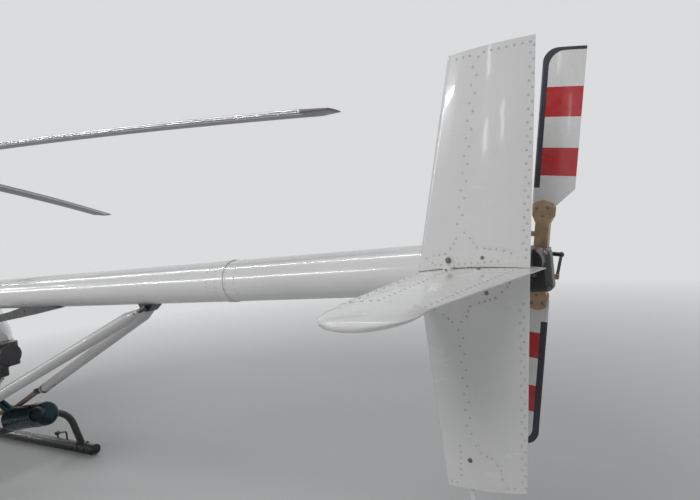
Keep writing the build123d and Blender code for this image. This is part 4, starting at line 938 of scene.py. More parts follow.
class HELI_OT_tail_rotor_fittings(bpy.types.Operator):
    """Blade bolts, hub nut and pitch links' ball ends of the tail rotor, and the gearbox's screws"""

    bl_idname = "heli.tail_rotor_fittings"
    bl_label = "Tail rotor fittings"

    # columns: along the chord, along the blade, scale
    fan_bolts = ((0.020, 0.152, 0.62), (-0.014, 0.155, 0.62), (0.0, 0.128, 0.5))
    fan_face = 0.017
    bar_reach = 0.052
    bar_out = 0.062
    ball_end = ((0.0, -0.003), (0.006, 0.0), (0.0075, 0.006), (0.006, 0.010))
    shaft_nut = ((0.0105, -0.006), (0.0105, 0.004), (0.008, 0.010), (0.0, 0.011))
    # x and z from the hub, and the y of the gearbox's middle
    case_screws = ((0.040, 0.018), (0.040, -0.090), (-0.040, 0.018), (-0.040, -0.090))
    case_y = 0.12
    case_reach = 0.4

    def execute(self, context):
        chord = Vector((math.cos(TAIL_LEAN), 0.0, math.sin(TAIL_LEAN)))
        along = Vector((-math.sin(TAIL_LEAN), 0.0, math.cos(TAIL_LEAN)))
        bolts, links = Piece(), Piece()
        for end in (1, -1):
            for across_chord, out, scale in self.fan_bolts:
                place = TAIL_HUB + (chord * across_chord + along * out) * end
                for side in (1, -1):
                    add_bolt(bolts, place + PORT * side * self.fan_face, PORT * side, scale, side < 0)
            ball = TAIL_HUB + chord * self.bar_reach * end - PORT * self.bar_out
            links.lathe(ball - PORT * 0.012, PORT, self.ball_end, 14)
            add_bolt(links, ball - PORT * 0.008, -PORT, 0.7)
        links.lathe(TAIL_HUB - PORT * self.bar_out, -PORT, self.shaft_nut, 14)
        bolts.finished("tail_blade_bolts", TAIL_ROTOR, "bolt_steel")
        links.finished("tail_pitch_ends", TAIL_ROTOR, "hub_steel")
        screws = Piece()
        skin = Skin("tail_gearbox")
        for x, z in self.case_screws:
            for side in (1, -1):
                origin = TAIL_HUB + Vector((x, self.case_y + side * self.case_reach, z))
                bolt_on(screws, skin, origin, PORT * -side, 0.7)
        screws.finished("tail_gearbox_screws", AIRFRAME, "bolt_steel")
        return {"FINISHED"}


class HELI_OT_strut_fittings(bpy.types.Operator):
    """Bolts through the struts' ends, their clamps and the arm under the boom"""

    bl_idname = "heli.strut_fittings"
    bl_label = "Strut fittings"

    top = Vector((-2.395, 0.036, 1.246))
    foot = Vector((-1.045, 0.200, 0.718))
    # distances from the struts' upper and lower ends
    top_bolts = (0.022, 0.044)
    foot_collars = (0.030, 0.046)
    arm_bolts = ((-1.020, 1.200), (-1.200, 1.225), (-1.420, 1.250), (-1.620, 1.276))
    reach = 0.3

    def execute(self, context):
        bolts, collars = Piece(), Piece()
        skin = Skin("strut_left", "strut_right", "strut_fittings", "boom_saddle")
        for side in (1, -1):
            top = Vector((self.top.x, side * self.top.y, self.top.z))
            foot = Vector((self.foot.x, side * self.foot.y, self.foot.z))
            along = (top - foot).normalized()
            for back in self.top_bolts:
                spot = top - along * back
                bolt_on(bolts, skin, at(spot.x, spot.y + side * self.reach, spot.z), PORT * -side, 0.62)
            for start in self.foot_collars:
                collars.lathe(at(*(foot + along * start)), along, flat_band(0.0282, 0.0300, 0.008), 28)
            for x, z in self.arm_bolts:
                bolt_on(bolts, skin, at(x, side * self.reach, z), PORT * -side, 0.8)
        bolts.finished("strut_bolts", AIRFRAME, "bolt_steel")
        collars.finished("strut_collars", AIRFRAME, "gear_black")
        return {"FINISHED"}


# Skid gear and exhaust

class HELI_OT_skid_fittings(bpy.types.Operator):
    """Clamps between cross tubes and skids, end caps, shoe screws, the muffler's bands and the drain"""

    bl_idname = "heli.skid_fittings"
    bl_label = "Skid and exhaust fittings"

    skid_y = 0.775
    skid_z = 0.042
    skid_radius = 0.034
    skid_rear_x = -0.580
    tube_x = (-0.415, 1.010)
    clamp_shift = 0.042
    clamp_width = 0.018
    shoe_screws = (-0.46, -0.24, 0.02, 0.30, 0.58, 0.86, 1.10)
    can_rear = Vector((-0.990, -0.250, 0.547))
    can_tilt = math.radians(10.0)
    outlet_from = Vector((-0.925, -0.250, 0.550))
    outlet_to = Vector((-0.978, -0.166, 0.562))
    can_radius = 0.0748
    # distances of the bands and of the welded seam from the can's rear end
    band_starts = (0.125, 0.360)
    seam_start = 0.415
    drain_top = Vector((-1.030, 0.0, 0.930))

    def skids(self):
        clamps, caps, screws = Piece(), Piece(), Piece()
        radius = self.skid_radius
        top = self.skid_z + radius
        cap = [(radius + 0.0015, -0.010), (radius + 0.0015, 0.002), (radius - 0.004, 0.006), (0.0, 0.0075)]
        for side in (1, -1):
            y = side * self.skid_y
            for x in self.tube_x:
                for shift in (-self.clamp_shift, self.clamp_shift):
                    clamps.lathe(at(x + shift - self.clamp_width / 2.0, y, self.skid_z), FORWARD,
                                 flat_band(radius, radius + 0.004, self.clamp_width), 32)
                    add_bolt(screws, at(x + shift, y - side * 0.0375, self.skid_z), PORT * -side, 0.9)
                clamps.block(at(x, y, top + 0.001), (0.100, 0.044, 0.006), bevel=0.002)
                for shift in (-0.038, 0.038):
                    for inner in (-0.014, 0.014):
                        add_bolt(screws, at(x + shift, y + inner, top + 0.004), UP, 0.7)
            caps.lathe(at(self.skid_rear_x, y, self.skid_z), -FORWARD, cap, 32)
            lug = at(self.skid_rear_x - 0.002, y, self.skid_z + 0.030)
            caps.block(lug, (0.010, 0.016, 0.012), bevel=0.003)
            for x in self.shoe_screws:
                for edge in (1, -1):
                    screws.lathe(at(x, y + edge * 0.025, 0.010), PORT * edge,
                                 [(0.0055, -0.001), (0.0055, 0.001), (0.0, 0.0018)], 12)
        clamps.finished("skid_clamps", AIRFRAME, "gear_black")
        caps.finished("skid_end_caps", AIRFRAME, "seal_rubber")
        screws.finished("skid_bolts", AIRFRAME, "bolt_steel")

    def muffler(self):
        bands, rim = Piece(), Piece()
        along = Vector((math.cos(self.can_tilt), 0.0, -math.sin(self.can_tilt)))
        for start in self.band_starts:
            place = at(*(self.can_rear + along * start))
            bands.lathe(place, along, flat_band(self.can_radius, self.can_radius + 0.002, 0.020), 48)
            lug = place + along * 0.010 + Vector((0.0, 0.050, 0.066))
            bands.block(lug, (0.020, 0.010, 0.022), bevel=0.002)
            add_bolt(bands, lug + PORT * 0.005, PORT, 0.8)
        seam = at(*(self.can_rear + along * self.seam_start))
        bands.lathe(seam, along, flat_band(self.can_radius, self.can_radius + 0.0008, 0.004, 0.0008), 48)
        bands.finished("muffler_bands", AIRFRAME, "muffler_steel", "muffler_metal")
        axis = (self.outlet_to - self.outlet_from).normalized()
        rolled_edge = [(0.0440, 0.0), (0.0462, 0.002), (0.0462, 0.008), (0.0440, 0.0105), (0.0385, 0.0105),
                       (0.0375, 0.0)]
        rim.lathe(at(*self.outlet_to) - axis * 0.010, axis, rolled_edge, 40)
        rim.finished("outlet_rim", AIRFRAME, "muffler_steel", "muffler_metal")
        stub = Piece()
        stub.lathe(at(*self.drain_top), -UP, [(0.034, 0.0), (0.034, 0.012), (0.028, 0.016), (0.028, 0.062),
                                              (0.024, 0.068), (0.0, 0.068)], 28)
        stub.finished("duct_drain", AIRFRAME, "duct_black", "black_plastic")

    def execute(self, context):
        self.skids()
        self.muffler()
        return {"FINISHED"}


# Cabin shell

class HELI_OT_cabin_trim(bpy.types.Operator):
    """Rubber round the doors and their windows, screws round the windscreen, fasteners of the panels"""

    bl_idname = "heli.cabin_trim"
    bl_label = "Cabin trim"

    screen = ((1.320, 0.900), (1.620, 0.915), (1.560, 1.110), (1.230, 1.500), (0.975, 1.650), (0.935, 1.640),
              (1.228, 1.262), (1.228, 0.890))
    lip = ((0.040, 0.625), (-0.350, 0.712), (-0.545, 0.992), (-0.900, 1.050))
    cowling_edge_x = 0.035
    roof_edge_x = 0.082
    # where the rays start that look for the edges' fasteners, and the least distance that counts
    edge_middle_z = 1.15
    edge_reach = 1.3
    edge_least = 0.4
    lip_pitch = 0.11
    screw_pitch = 0.075
    trim_step = 0.018
    seal_radius = 0.0026
    seal_depth = 0.012
    window_trim_radius = 0.0048
    screen_gap = 0.06
    screw_head = ((0.0055, -0.001), (0.0055, 0.0006), (0.0022, 0.0011), (0.0, 0.0004))

    def door_trim(self, side):
        door = DOORS[side]
        skin = Skin(door)
        seal, trim = Piece(), Piece()
        edge = rounded(DOOR_OUTLINE, DOOR_CORNER, self.trim_step)
        inner = rounded(grown(DOOR_OUTLINE, -0.007), DOOR_CORNER - 0.006, self.trim_step)
        line = []
        for spot in edge:
            near = min(inner, key=lambda point: (point - spot).length)
            found = on_side(skin, near.x, near.y, side)
            if found:
                line.append(at(spot.x, 0.0, spot.y) + PORT * (found[0].y - MAST.y - side * self.seal_depth))
        seal.tube(line, self.seal_radius, 8, closed=True)
        seal.finished(f"{door}_seal", door, "seal_rubber")
        opening = rounded(grown(DOOR_WINDOW, 0.003), WINDOW_CORNER, self.trim_step)
        rim = [on_side(skin, spot.x, spot.y, side) for spot in opening]
        line = [found[0] + found[1] * 0.0005 for found in rim if found]
        trim.tube(line, self.window_trim_radius, 10, closed=True)
        trim.finished(f"{door}_window_trim", door, "seal_rubber")

    def screen_trim(self):
        skin = Skin("cabin_tub", "cabin_roof")
        screws = Piece()
        for side in (1, -1):
            for start, end in zip(self.screen, self.screen[1:]):
                a, b = Vector(start), Vector(end)
                for spot in between(a, b, self.screw_pitch)[:-1]:
                    found = on_side(skin, spot.x, spot.y, side)
                    if found and abs(found[0].y - MAST.y) > self.screen_gap:
                        screws.lathe(*found, self.screw_head, 12)
        screws.finished("screen_screws", AIRFRAME, "bolt_steel")

    def fasteners(self):
        cowling = Skin("engine_cowling")
        cabin = Skin("cabin_tub", "cabin_roof")
        studs = Piece()
        spots = []
        for start, end in zip(self.lip, self.lip[1:]):
            spots.extend(between(at(start[0], 0.0, start[1]), at(end[0], 0.0, end[1]), self.lip_pitch))
        for side in (1, -1):
            for spot in spots:
                found = cowling.hit(spot + PORT * side * SIDE_REACH, PORT * -side)
                if found:
                    self.stud(studs, *found)
        for skin, x in ((cowling, self.cowling_edge_x), (cabin, self.roof_edge_x)):
            middle = at(x, 0.0, self.edge_middle_z)
            for i in range(25):
                angle = math.radians(-30.0 + 240.0 * i / 24)
                out = Vector((0.0, math.cos(angle), math.sin(angle)))
                found = skin.hit(middle + out * self.edge_reach, -out)
                if found and (found[0] - middle).length > self.edge_least:
                    self.stud(studs, *found)
        studs.finished("panel_fasteners", AIRFRAME, "bolt_steel")

    def stud(self, piece, place, normal):
        """Quarter-turn fastener with a slot."""
        piece.lathe(place, normal, [(0.0085, -0.001), (0.0085, 0.0006), (0.0068, 0.0012), (0.0, 0.0012)], 16)
        basis = across(normal)
        piece.block(place + normal * 0.0014, (0.011, 0.0022, 0.0010), basis)

    def execute(self, context):
        for side in (1, -1):
            self.door_trim(side)
        self.screen_trim()
        self.fasteners()
        return {"FINISHED"}


class HELI_OT_door_hardware(bpy.types.Operator):
    """Door latches with their handles, and the round vent in each window"""

    bl_idname = "heli.door_hardware"
    bl_label = "Door hardware"

    # x and z of the latch, and of the vent in the window
    latch = (0.400, 0.800)
    vent = (0.640, 1.020)
    lock = ((0.011, 0.0), (0.011, 0.012), (0.008, 0.014), (0.0, 0.014))
    vent_rim = ((0.062, -0.0005), (0.062, 0.004), (0.056, 0.005), (0.054, 0.001))
    vent_knob = ((0.009, 0.0), (0.009, 0.010), (0.006, 0.012), (0.0, 0.012))

    def execute(self, context):
        for side, door in DOORS.items():
            skin = Skin(door)
            pane = Skin(door.replace("door_", "door_window_"))
            place, normal = on_side(skin, *self.latch, side)
            basis = Matrix((FORWARD, normal.cross(FORWARD), normal)).transposed()
            handle = Piece()
            handle.block(place + normal * 0.0015, (0.105, 0.040, 0.004), basis, 0.0018)
            handle.lathe(place, normal, self.lock, 20)
            handle.block(place + normal * 0.014 + FORWARD * 0.026, (0.078, 0.017, 0.007), basis, 0.003)
            handle.finished(f"{door}_handle", door, "gear_black")
            found = on_side(pane, *self.vent, side)
            if found:
                place, normal = found
                vent = Piece()
                vent.lathe(place, normal, self.vent_rim, 40)
                vent.lathe(place + normal * 0.001, normal, self.vent_knob, 16)
                vent.finished(f"{door}_vent", door, "clear_acrylic")
        return {"FINISHED"}


# Seats and instruments

class HELI_OT_seats(bpy.types.Operator):
    """Padded cushions and backs with sewn channels and piping, and their belts"""

    bl_idname = "heli.seats"
    bl_label = "Seats"

    half_width = 0.206
    base_rear = Vector((0.120, 0.796))
    base_front = Vector((0.760, 0.760))
    # (x, z) corners of each pad in side view, and the (x, z) starts of its sewn channels
    cushion = ((0.350, 0.800), (0.762, 0.775), (0.764, 0.838), (0.362, 0.868))
    back = ((0.220, 0.812), (0.318, 0.812), (0.340, 0.884), (0.206, 1.474), (0.136, 1.468))
    channels = {"cushion": (0.460, 0.560, 0.660), "back": (1.010, 1.140, 1.270, 1.390)}
    # how far each ring is inside the pad's side, and how far its corners are pulled in
    side_rings = ((0.0, 0.030), (0.014, 0.010), (0.032, 0.0))
    pad_corner = 0.026
    pressure = 4.0
    held_height = 0.012
    piping_inset = 0.030
    piping_radius = 0.0035
    belt_thickness = 0.0024
    belt_gap = 0.003
    lap_half_width = 0.196

    def base_height(self, x):
        share = (x - self.base_rear.x) / (self.base_front.x - self.base_rear.x)
        return self.base_rear.y + share * (self.base_front.y - self.base_rear.y)

    def form(self, outline, side):
        """Rounded slab between the pad's two sides."""
        pad = Piece()
        corners = rounded(outline, self.pad_corner, 0.02)
        middle = sum(corners, Vector((0.0, 0.0))) / len(corners)
        far_rings = [(2.0 * self.half_width - inset, drop) for inset, drop in reversed(self.side_rings)]
        rings = []
        for inset, drop in (*self.side_rings, (self.half_width, 0.0), *far_rings):
            y = side * SEAT_Y - self.half_width + inset
            ring = []
            for corner in corners:
                inward = middle - corner
                spot = corner + inward.normalized() * min(drop, 0.4 * inward.length)
                ring.append(at(spot.x, y, spot.y))
            rings.append(ring)
        pad.loops(rings)
        return pad

    def swollen(self, piece, kind):
        """Voxel mesh puffed out by a cloth simulation's pressure, held along its channels and its base."""
        settings = bpy.context.scene.heli_seats
        bpy.context.view_layer.objects.active = piece
        remesh = piece.modifiers.new("remesh", "REMESH")
        remesh.mode = "VOXEL"
        remesh.voxel_size = settings.voxel
        remesh.use_smooth_shade = True
        bpy.ops.object.modifier_apply(modifier=remesh.name)
        data = piece.data
        start = [vert.co.copy() for vert in data.vertices]
        held = piece.vertex_groups.new(name="held")
        lines = self.channels[kind]
        for vert in data.vertices:
            level = vert.co.x - MAST.x if kind == "cushion" else vert.co.z
            low = vert.co.z - self.base_height(vert.co.x - MAST.x) < self.held_height
            if low or min(abs(level - line) for line in lines) < 0.6 * settings.voxel:
                held.add([vert.index], 1.0, "REPLACE")
        cloth = piece.modifiers.new("cloth", "CLOTH")
        cloth.settings.vertex_group_mass = held.name
        cloth.settings.use_pressure = True
        cloth.settings.uniform_pressure_force = self.pressure
        cloth.settings.effector_weights.gravity = 0.0
        cloth.settings.quality = 4
        cloth.point_cache.frame_end = settings.frames
        for step in range(1, settings.frames + 1):
            bpy.context.scene.frame_set(step)
        bpy.ops.object.modifier_apply(modifier=cloth.name)
        bpy.context.scene.frame_set(1)
        for vert, before in zip(data.vertices, start):
            moved = vert.co - before
            if moved.length > settings.swell:
                vert.co = before + moved.normalized() * settings.swell
        smooth = piece.modifiers.new("smooth", "SUBSURF")
        smooth.levels = 1
        bpy.ops.object.modifier_apply(modifier=smooth.name)

    def piping(self, piece, skin, points):
        """Cord half sunk in a pad, along the places where rays meet it."""
        line = []
        for origin, ray in points:
            found = skin.hit(origin, ray)
            if found:
                line.append(found[0] + found[1] * self.piping_radius * 0.3)
        if len(line) > 2:
            piece.tube(line, self.piping_radius, 8)

    def belt(self, straps, metal, cushion, back, side):
        """Lap belt over the cushion and one strap down the back."""
        half = bpy.context.scene.heli_seats.belt_width / 2.0
        centre = side * SEAT_Y
        lap = []
        for i in range(25):
            y = centre + (i / 12.0 - 1.0) * self.lap_half_width
            found = cushion.hit(at(0.415 + 0.030 * math.sin(math.pi * i / 24), y, 1.30), -UP)
            if found:
                place = found[0] + UP * self.belt_gap
                lap.append((place - FORWARD * half, place + FORWARD * half, UP))
        straps.strip(lap, self.belt_thickness)
        shoulder = []
        for i in range(30):
            z = 0.930 + 0.530 * i / 29.0
            y = centre - side * (0.120 - 0.215 * i / 29.0)
            found = back.hit(at(1.2, y, z), -FORWARD)
            if found:
                place = found[0] + found[1] * self.belt_gap
                shoulder.append((place - PORT * half, place + PORT * half, found[1]))
        straps.strip(shoulder, self.belt_thickness)
        buckle = lap[len(lap) // 2 + side * 3]
        middle = (buckle[0] + buckle[1]) / 2.0 + UP * 0.006
        metal.block(middle, (0.052, 0.064, 0.012), bevel=0.003)
        metal.block(middle + UP * 0.007, (0.024, 0.030, 0.004), bevel=0.001)

    def execute(self, context):
        for side, node in ((1, "seat_left"), (-1, "seat_right")):
            pads = {}
            for kind, outline in (("cushion", self.cushion), ("back", self.back)):
                form = self.form(outline, side)
                pad = form.finished(f"{node}_{kind}", AIRFRAME, "seat_cloth", "seat_cover")
                self.swollen(pad, kind)
                for polygon in pad.data.polygons:
                    polygon.use_smooth = True
                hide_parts(node)
                pads[kind] = pad
            skins = {kind: Skin(pad) for kind, pad in pads.items()}
            piping = Piece()
            for shift in (-1, 1):
                y = side * SEAT_Y + shift * (self.half_width - self.piping_inset)
                over = [(at(0.385 + 0.360 * i / 30.0, y, 1.2), -UP) for i in range(31)]
                before = [(at(1.2, y, 0.905 + 0.545 * i / 30.0), -FORWARD) for i in range(31)]
                self.piping(piping, skins["cushion"], over)
                self.piping(piping, skins["back"], before)
            piping.finished(f"{node}_piping", AIRFRAME, "grip_rubber")
            straps, metal = Piece(), Piece()
            self.belt(straps, metal, skins["cushion"], skins["back"], side)
            straps.finished(f"{node}_belts", AIRFRAME, "belt_webbing")
            metal.finished(f"{node}_buckle", AIRFRAME, "hub_steel")
        return {"FINISHED"}


class HELI_OT_instruments(bpy.types.Operator):
    """Dials, switches and radio panels on the console, and the pedals' treads"""

    bl_idname = "heli.instruments"
    bl_label = "Instruments"

    # the console's two faces towards the seats, as (x, z) from low to high
    upper = (Vector((1.120, 0.0, 0.960)), Vector((1.135, 0.0, 1.040)))
    lower = (Vector((1.180, 0.0, 0.520)), Vector((1.120, 0.0, 0.960)))
    dial_y = (-0.070, 0.0, 0.070)
    # heights as shares of the lower face
    radio_shares = (0.600, 0.505)
    switch_share = 0.415
    radio_knob_y = (-0.068, 0.068)
    radio_knob = ((0.010, 0.0), (0.009, 0.014), (0.0, 0.015))
    switch = ((0.0055, 0.0), (0.0055, 0.004), (0.0022, 0.005), (0.0018, 0.017), (0.0, 0.018))
    pedal_x = 1.260
    pedal_z = 0.680
    pedal_shifts = (-0.075, 0.075)
    pedal_lean = math.radians(-20.0)

    def dial(self, rings, faces, marks, place, basis, radius, hand):
        """Round instrument with twelve marks and a hand at an angle in degrees."""
        out = basis @ UP
        bezel = [(radius, -0.001), (radius, 0.006), (radius * 0.93, 0.008), (radius * 0.86, 0.006),
                 (radius * 0.86, 0.001)]
        rings.lathe(place, out, bezel, 32)
        faces.lathe(place, out, [(radius * 0.87, 0.0002), (radius * 0.87, 0.0014)], 32)
        for i, angle in enumerate(turns(12)):
            turn = basis @ Matrix.Rotation(angle, 3, "Z")
            long = 0.006 if i % 3 == 0 else 0.0035
            spot = place + out * 0.0018 + turn @ Vector((radius * 0.74, 0.0, 0.0))
            marks.block(spot, (long, 0.0012, 0.0006), turn)
        turn = basis @ Matrix.Rotation(math.radians(hand), 3, "Z")
        spot = place + out * 0.0026 + turn @ Vector((radius * 0.26, 0.0, 0.0))
        marks.block(spot, (radius * 0.62, 0.0018, 0.0008), turn)

    def face(self, line):
        """Rotation with y up one of the console's faces and z out of it, towards the seats."""
        rise = (line[1] - line[0]).normalized()
        return Matrix((-PORT, rise, (-PORT).cross(rise))).transposed()

    def execute(self, context):
        rings, faces, marks, knobs = Piece(), Piece(), Piece(), Piece()
        for line, share, radius in ((self.upper, 0.5, 0.030), (self.lower, 0.900, 0.031),
                                    (self.lower, 0.735, 0.031)):
            basis = self.face(line)
            middle = line[0].lerp(line[1], share)
            for i, y in enumerate(self.dial_y):
                self.dial(rings, faces, marks, at(middle.x, y, middle.z), basis, radius, 55.0 + 70.0 * i)
        basis = self.face(self.lower)
        out = basis @ UP
        for share in self.radio_shares:
            middle = self.lower[0].lerp(self.lower[1], share)
            faces.block(at(*middle) + out * 0.002, (0.160, 0.034, 0.006), basis, 0.001)
            for y in self.radio_knob_y:
                knobs.lathe(at(middle.x, y, middle.z) + out * 0.004, out, self.radio_knob, 18)
        middle = self.lower[0].lerp(self.lower[1], self.switch_share)
        for i in range(6):
            knobs.lathe(at(middle.x, -0.0625 + 0.025 * i, middle.z), out, self.switch, 12)
        rings.finished("dial_rings", AIRFRAME, "seal_rubber")
        faces.finished("dial_faces", AIRFRAME, "dial_black")
        marks.finished("dial_marks", AIRFRAME, "dial_white")
        knobs.finished("switches", AIRFRAME, "grip_rubber")
        treads = Piece()
        turn = Matrix.Rotation(self.pedal_lean, 3, "Y")
        for side in (1, -1):
            for pedal in self.pedal_shifts:
                centre = at(self.pedal_x, side * SEAT_Y + pedal, self.pedal_z)
                for i in range(5):
                    spot = centre + turn @ Vector((-0.0075, 0.0, -0.036 + 0.018 * i))
                    treads.block(spot, (0.003, 0.070, 0.006), turn, 0.001)
        treads.finished("pedal_treads", AIRFRAME, "seal_rubber")
        return {"FINISHED"}


# Main rotor

class HELI_OT_rotor_fittings(bpy.types.Operator):
    """Flapping pin nuts, hub and grip bolts, pitch links' ends and the strip along each main blade"""

    bl_idname = "heli.rotor_fittings"
    bl_label = "Rotor fittings"

    hub_z = 2.260
    rotor_radius = 3.420
    lead_y = -0.0425
    strip_depths = (0.024, 0.014, 0.007, 0.003, 0.0012)
    # the strip's start along the blade, its end's distance from the tip, and the blade's droop there
    strip_start = 0.345
    strip_end = 0.120
    tip_droop = 0.085
    # distances along the blade and across it from the flapping pin
    grip_bolts = ((0.150, -0.030), (0.150, 0.030), (0.232, -0.030), (0.232, 0.030))
    horn_along = 0.070
    horn_across = 0.120
    link_ball = ((0.0, 0.0), (0.010, 0.002), (0.013, 0.008), (0.010, 0.014), (0.0, 0.016))
    hub_bolts = 9
    hub_bolt_radius = 0.068

    def blade_frame(self, azimuth):
        """(flapping pin, along the blade, across it to the trailing edge, up) at the blade's root."""
        swing = Matrix.Rotation(math.radians(azimuth), 3, "Z")
        turn = swing @ Matrix.Rotation(ROOT_SLOPE, 3, "Y")
        pin = at(0.0, 0.0, self.hub_z) + swing @ Vector((FLAP_RADIUS, 0.0, 0.0))
        return pin, turn @ FORWARD, turn @ PORT, turn @ UP

    def edge_strip(self, piece, skin, azimuth):
        """Thin sleeve round the leading edge, found on the blade's own surface."""
        pin, along, back, up = self.blade_frame(azimuth)
        span = self.rotor_radius - FLAP_RADIUS
        rings = []
        for i in range(25):
            distance = self.strip_start + (span - self.strip_end - self.strip_start) * i / 24.0
            sag = -self.tip_droop * (distance / span) ** 2
            middle = pin + along * distance + up * sag
            outer, inner = [], []
            for side in (1, -1):
                depths = self.strip_depths if side > 0 else reversed(self.strip_depths)
                for depth in depths:
                    origin = middle + back * (self.lead_y + depth) + up * side * 0.05
                    found = skin.hit(origin, up * -side)
                    if found:
                        outer.append(found[0] + found[1] * 0.0008)
                        inner.append(found[0] - found[1] * 0.0006)
            if len(outer) == 2 * len(self.strip_depths):
                rings.append(outer + list(reversed(inner)))
        piece.loops(rings)

    def execute(self, context):
        bolts, strips, ends = Piece(), Piece(), Piece()
        for number, azimuth in enumerate(ROTOR_AZIMUTHS, 1):
            pin, along, back, up = self.blade_frame(azimuth)
            for side in (1, -1):
                add_bolt(bolts, pin + back * side * 0.051, back * side, 2.4, True)
                for distance, shift in self.grip_bolts:
                    place = pin + along * distance + back * shift + up * side * 0.027
                    add_bolt(bolts, place, up * side, 1.3, side < 0)
            horn = pin + along * self.horn_along - back * self.horn_across
            ends.lathe(horn - up * 0.016, up, self.link_ball, 18)
            add_bolt(bolts, horn + up * 0.010, up, 1.1)
            self.edge_strip(strips, Skin(f"main_blade_{number}"), azimuth)
        for angle in turns(self.hub_bolts, 0.5):
            out = Vector((math.cos(angle), math.sin(angle), 0.0)) * self.hub_bolt_radius
            add_bolt(bolts, at(0.0, 0.0, self.hub_z + 0.045) + out, UP)
        bolts.lathe(at(0.0, 0.0, self.hub_z + 0.070), UP, [(0.040, -0.001), (0.036, 0.002), (0.0, 0.003)], 32)
        bolts.finished("rotor_bolts", MAIN_ROTOR, "bolt_steel")
        ends.finished("pitch_link_ends", MAIN_ROTOR, "hub_steel")
        strips.finished("blade_edge_strips", MAIN_ROTOR, "edge_steel")
        return {"FINISHED"}


# Stage

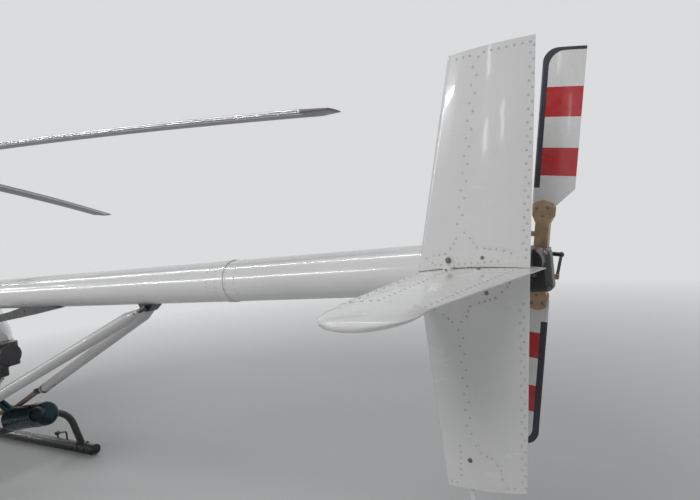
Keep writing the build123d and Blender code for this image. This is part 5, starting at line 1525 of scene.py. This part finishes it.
class HELI_OT_stage(bpy.types.Operator):
    """Camera at the photograph's place, pale floor and soft light"""

    bl_idname = "heli.stage"
    bl_label = "Stage"

    eye = (-4.510, 1.660, 1.540)
    look = (0.5216, -0.8513, -0.0557)
    head_up = (-0.0712, -0.1085, 0.9914)
    backdrop_colour = (0.84, 0.85, 0.86)
    backdrop_strength = 0.84
    fade_range = (3.5, 9.0)
    # strips whose reflections run along the boom, then small ones for the faint smears on the fin:
    # x, y, z, length, height, share of the strips' power
    strips = ((9.0, 6.2, 3.9, 18.0, 0.12, 3.0), (5.0, 1.0, 9.0, 27.0, 0.12, 4.5),
              (15.0, 5.6, 6.5, 9.0, 0.12, 1.5), (-3.2, 6.2, 3.4, 0.25, 0.40, 0.014),
              (-3.2, 6.2, 2.4, 0.25, 0.40, 0.014), (-4.4, 6.2, 2.4, 0.20, 0.45, 0.010))
    aim = (-1.2, 0.0, 1.2)
    key_place = (-4.0, 6.5, 7.5)
    side_place = (3.0, -7.5, 6.0)
    side_share = 0.45

    def camera(self, context):
        forward = Vector(self.look).normalized()
        right = forward.cross(Vector(self.head_up)).normalized()
        up = right.cross(forward)
        data = bpy.data.cameras.new("photo_camera")
        data.lens = context.scene.heli_stage.lens
        data.clip_end = 300.0
        camera = bpy.data.objects.new("photo_camera", data)
        turn = Matrix((right, up, -forward)).transposed()
        camera.matrix_world = Matrix.Translation(at(*self.eye)) @ turn.to_4x4()
        context.scene.collection.objects.link(camera)
        context.scene.camera = camera

    def floor(self, context):
        settings = context.scene.heli_stage
        half = settings.floor_size / 2.0
        data = bpy.data.meshes.new("floor")
        corners = [(-half, -half, 0.0), (half, -half, 0.0), (half, half, 0.0), (-half, half, 0.0)]
        data.from_pydata(corners, [], [(0, 1, 2, 3)])
        floor = bpy.data.objects.new("floor", data)
        context.scene.collection.objects.link(floor)
        tree, shader = new_material("floor_plain")
        colour = tuple(settings.floor_colour)
        cloud = spread(tree, noise(tree, 0.6, 4.0), 0.0, 1.0)
        tree.links.new(mixed(tree, cloud, shade(colour, 0.98), colour), shader.inputs["Base Color"])
        shader.inputs["Roughness"].default_value = 0.55
        self.fade(tree, shader)
        data.materials.append(material_named("floor_plain"))

    def seen_rays(self, tree):
        """One for rays from the camera, gloss and glass, nought for rays that light a surface."""
        paths = tree.nodes.new("ShaderNodeLightPath")
        seen = paths.outputs["Is Camera Ray"]
        for kind in ("Is Transmission Ray", "Is Glossy Ray"):
            seen = combined(tree, "MAXIMUM", seen, paths.outputs[kind])
        return seen

    def fade(self, tree, shader):
        """Blends the floor into the backdrop a few metres out, so that no horizon shows."""
        place = tree.nodes.new("ShaderNodeNewGeometry")
        far = tree.nodes.new("ShaderNodeVectorMath")
        far.operation = "LENGTH"
        tree.links.new(place.outputs["Position"], far.inputs[0])
        glow = tree.nodes.new("ShaderNodeEmission")
        glow.inputs["Color"].default_value = (*self.backdrop_colour, 1.0)
        glow.inputs["Strength"].default_value = self.backdrop_strength
        faded = spread(tree, far.outputs["Value"], 0.0, 1.0, *self.fade_range)
        shown_as(tree, combined(tree, "MULTIPLY", faded, self.seen_rays(tree)), shader, glow)

    def sky(self, context):
        """Even light that itself isn't seen: the camera, gloss and glass see the plain backdrop."""
        world = bpy.data.worlds.new("studio")
        context.scene.world = world
        world.use_nodes = True
        tree = world.node_tree
        tree.nodes.clear()
        light = tree.nodes.new("ShaderNodeBackground")
        light.inputs["Color"].default_value = (0.93, 0.96, 1.0, 1.0)
        light.inputs["Strength"].default_value = context.scene.heli_stage.sky_strength
        backdrop = tree.nodes.new("ShaderNodeBackground")
        backdrop.inputs["Color"].default_value = (*self.backdrop_colour, 1.0)
        backdrop.inputs["Strength"].default_value = self.backdrop_strength
        tree.nodes.new("ShaderNodeOutputWorld")
        shown_as(tree, self.seen_rays(tree), light, backdrop)

    def lamp(self, context, name, place, target, size, power):
        data = bpy.data.lights.new(name, "AREA")
        data.shape = "RECTANGLE"
        data.size, data.size_y = size
        data.energy = power
        lamp = bpy.data.objects.new(name, data)
        lamp.matrix_world = Matrix.Translation(place) @ across(place - target).to_4x4()
        context.scene.collection.objects.link(lamp)
        return lamp

    def execute(self, context):
        settings = context.scene.heli_stage
        self.camera(context)
        self.floor(context)
        self.sky(context)
        power = settings.key_strength
        for name, place, size, share in (("key_light", self.key_place, (5.0, 5.0), 1.0),
                                         ("side_light", self.side_place, (5.0, 4.0), self.side_share)):
            lamp = self.lamp(context, name, at(*place), at(*self.aim), size, power * share)
            lamp.visible_glossy = False
        for number, (x, y, z, length, height, share) in enumerate(self.strips, 1):
            strip = self.lamp(context, f"strip_light_{number}", at(x, y, z), at(x, 0.0, BOOM_Z),
                              (length, height), settings.strip_strength * share)
            strip.visible_diffuse = False
        context.scene.view_settings.view_transform = "Standard"
        return {"FINISHED"}


class HELI_PT_panel(bpy.types.Panel):
    """Shows the settings and a button for each operator."""

    bl_idname = "HELI_PT_panel"
    bl_label = "Helicopter"
    bl_space_type = "VIEW_3D"
    bl_region_type = "UI"
    bl_category = "Helicopter"

    def draw(self, context):
        for group in SETTINGS:
            box = self.layout.box()
            settings = getattr(context.scene, group)
            for name in settings.bl_rna.properties.keys():
                if name not in {"rna_type", "name"}:
                    box.prop(settings, name)
        for operator in OPERATORS:
            self.layout.operator(operator.bl_idname)


SETTINGS = {
    "heli_stage": StageSettings,
    "heli_paint": PaintSettings,
    "heli_rivets": RivetSettings,
    "heli_seats": SeatSettings,
}
OPERATORS = (
    HELI_OT_finishes,
    HELI_OT_boom_details,
    HELI_OT_fin_rivets,
    HELI_OT_stabiliser_rivets,
    HELI_OT_tail_rotor_fittings,
    HELI_OT_strut_fittings,
    HELI_OT_skid_fittings,
    HELI_OT_cabin_trim,
    HELI_OT_door_hardware,
    HELI_OT_seats,
    HELI_OT_instruments,
    HELI_OT_rotor_fittings,
    HELI_OT_stage,
)


def register():
    for name, group in SETTINGS.items():
        bpy.utils.register_class(group)
        setattr(bpy.types.Scene, name, PointerProperty(type=group))
    for operator in OPERATORS:
        bpy.utils.register_class(operator)
    bpy.utils.register_class(HELI_PT_panel)


def unregister():
    bpy.utils.unregister_class(HELI_PT_panel)
    for operator in reversed(OPERATORS):
        bpy.utils.unregister_class(operator)
    for name, group in SETTINGS.items():
        delattr(bpy.types.Scene, name)
        bpy.utils.unregister_class(group)


def main():
    register()
    for operator in OPERATORS:
        family, name = operator.bl_idname.split(".")
        getattr(getattr(bpy.ops, family), name)()


if __name__ == "__main__":
    main()
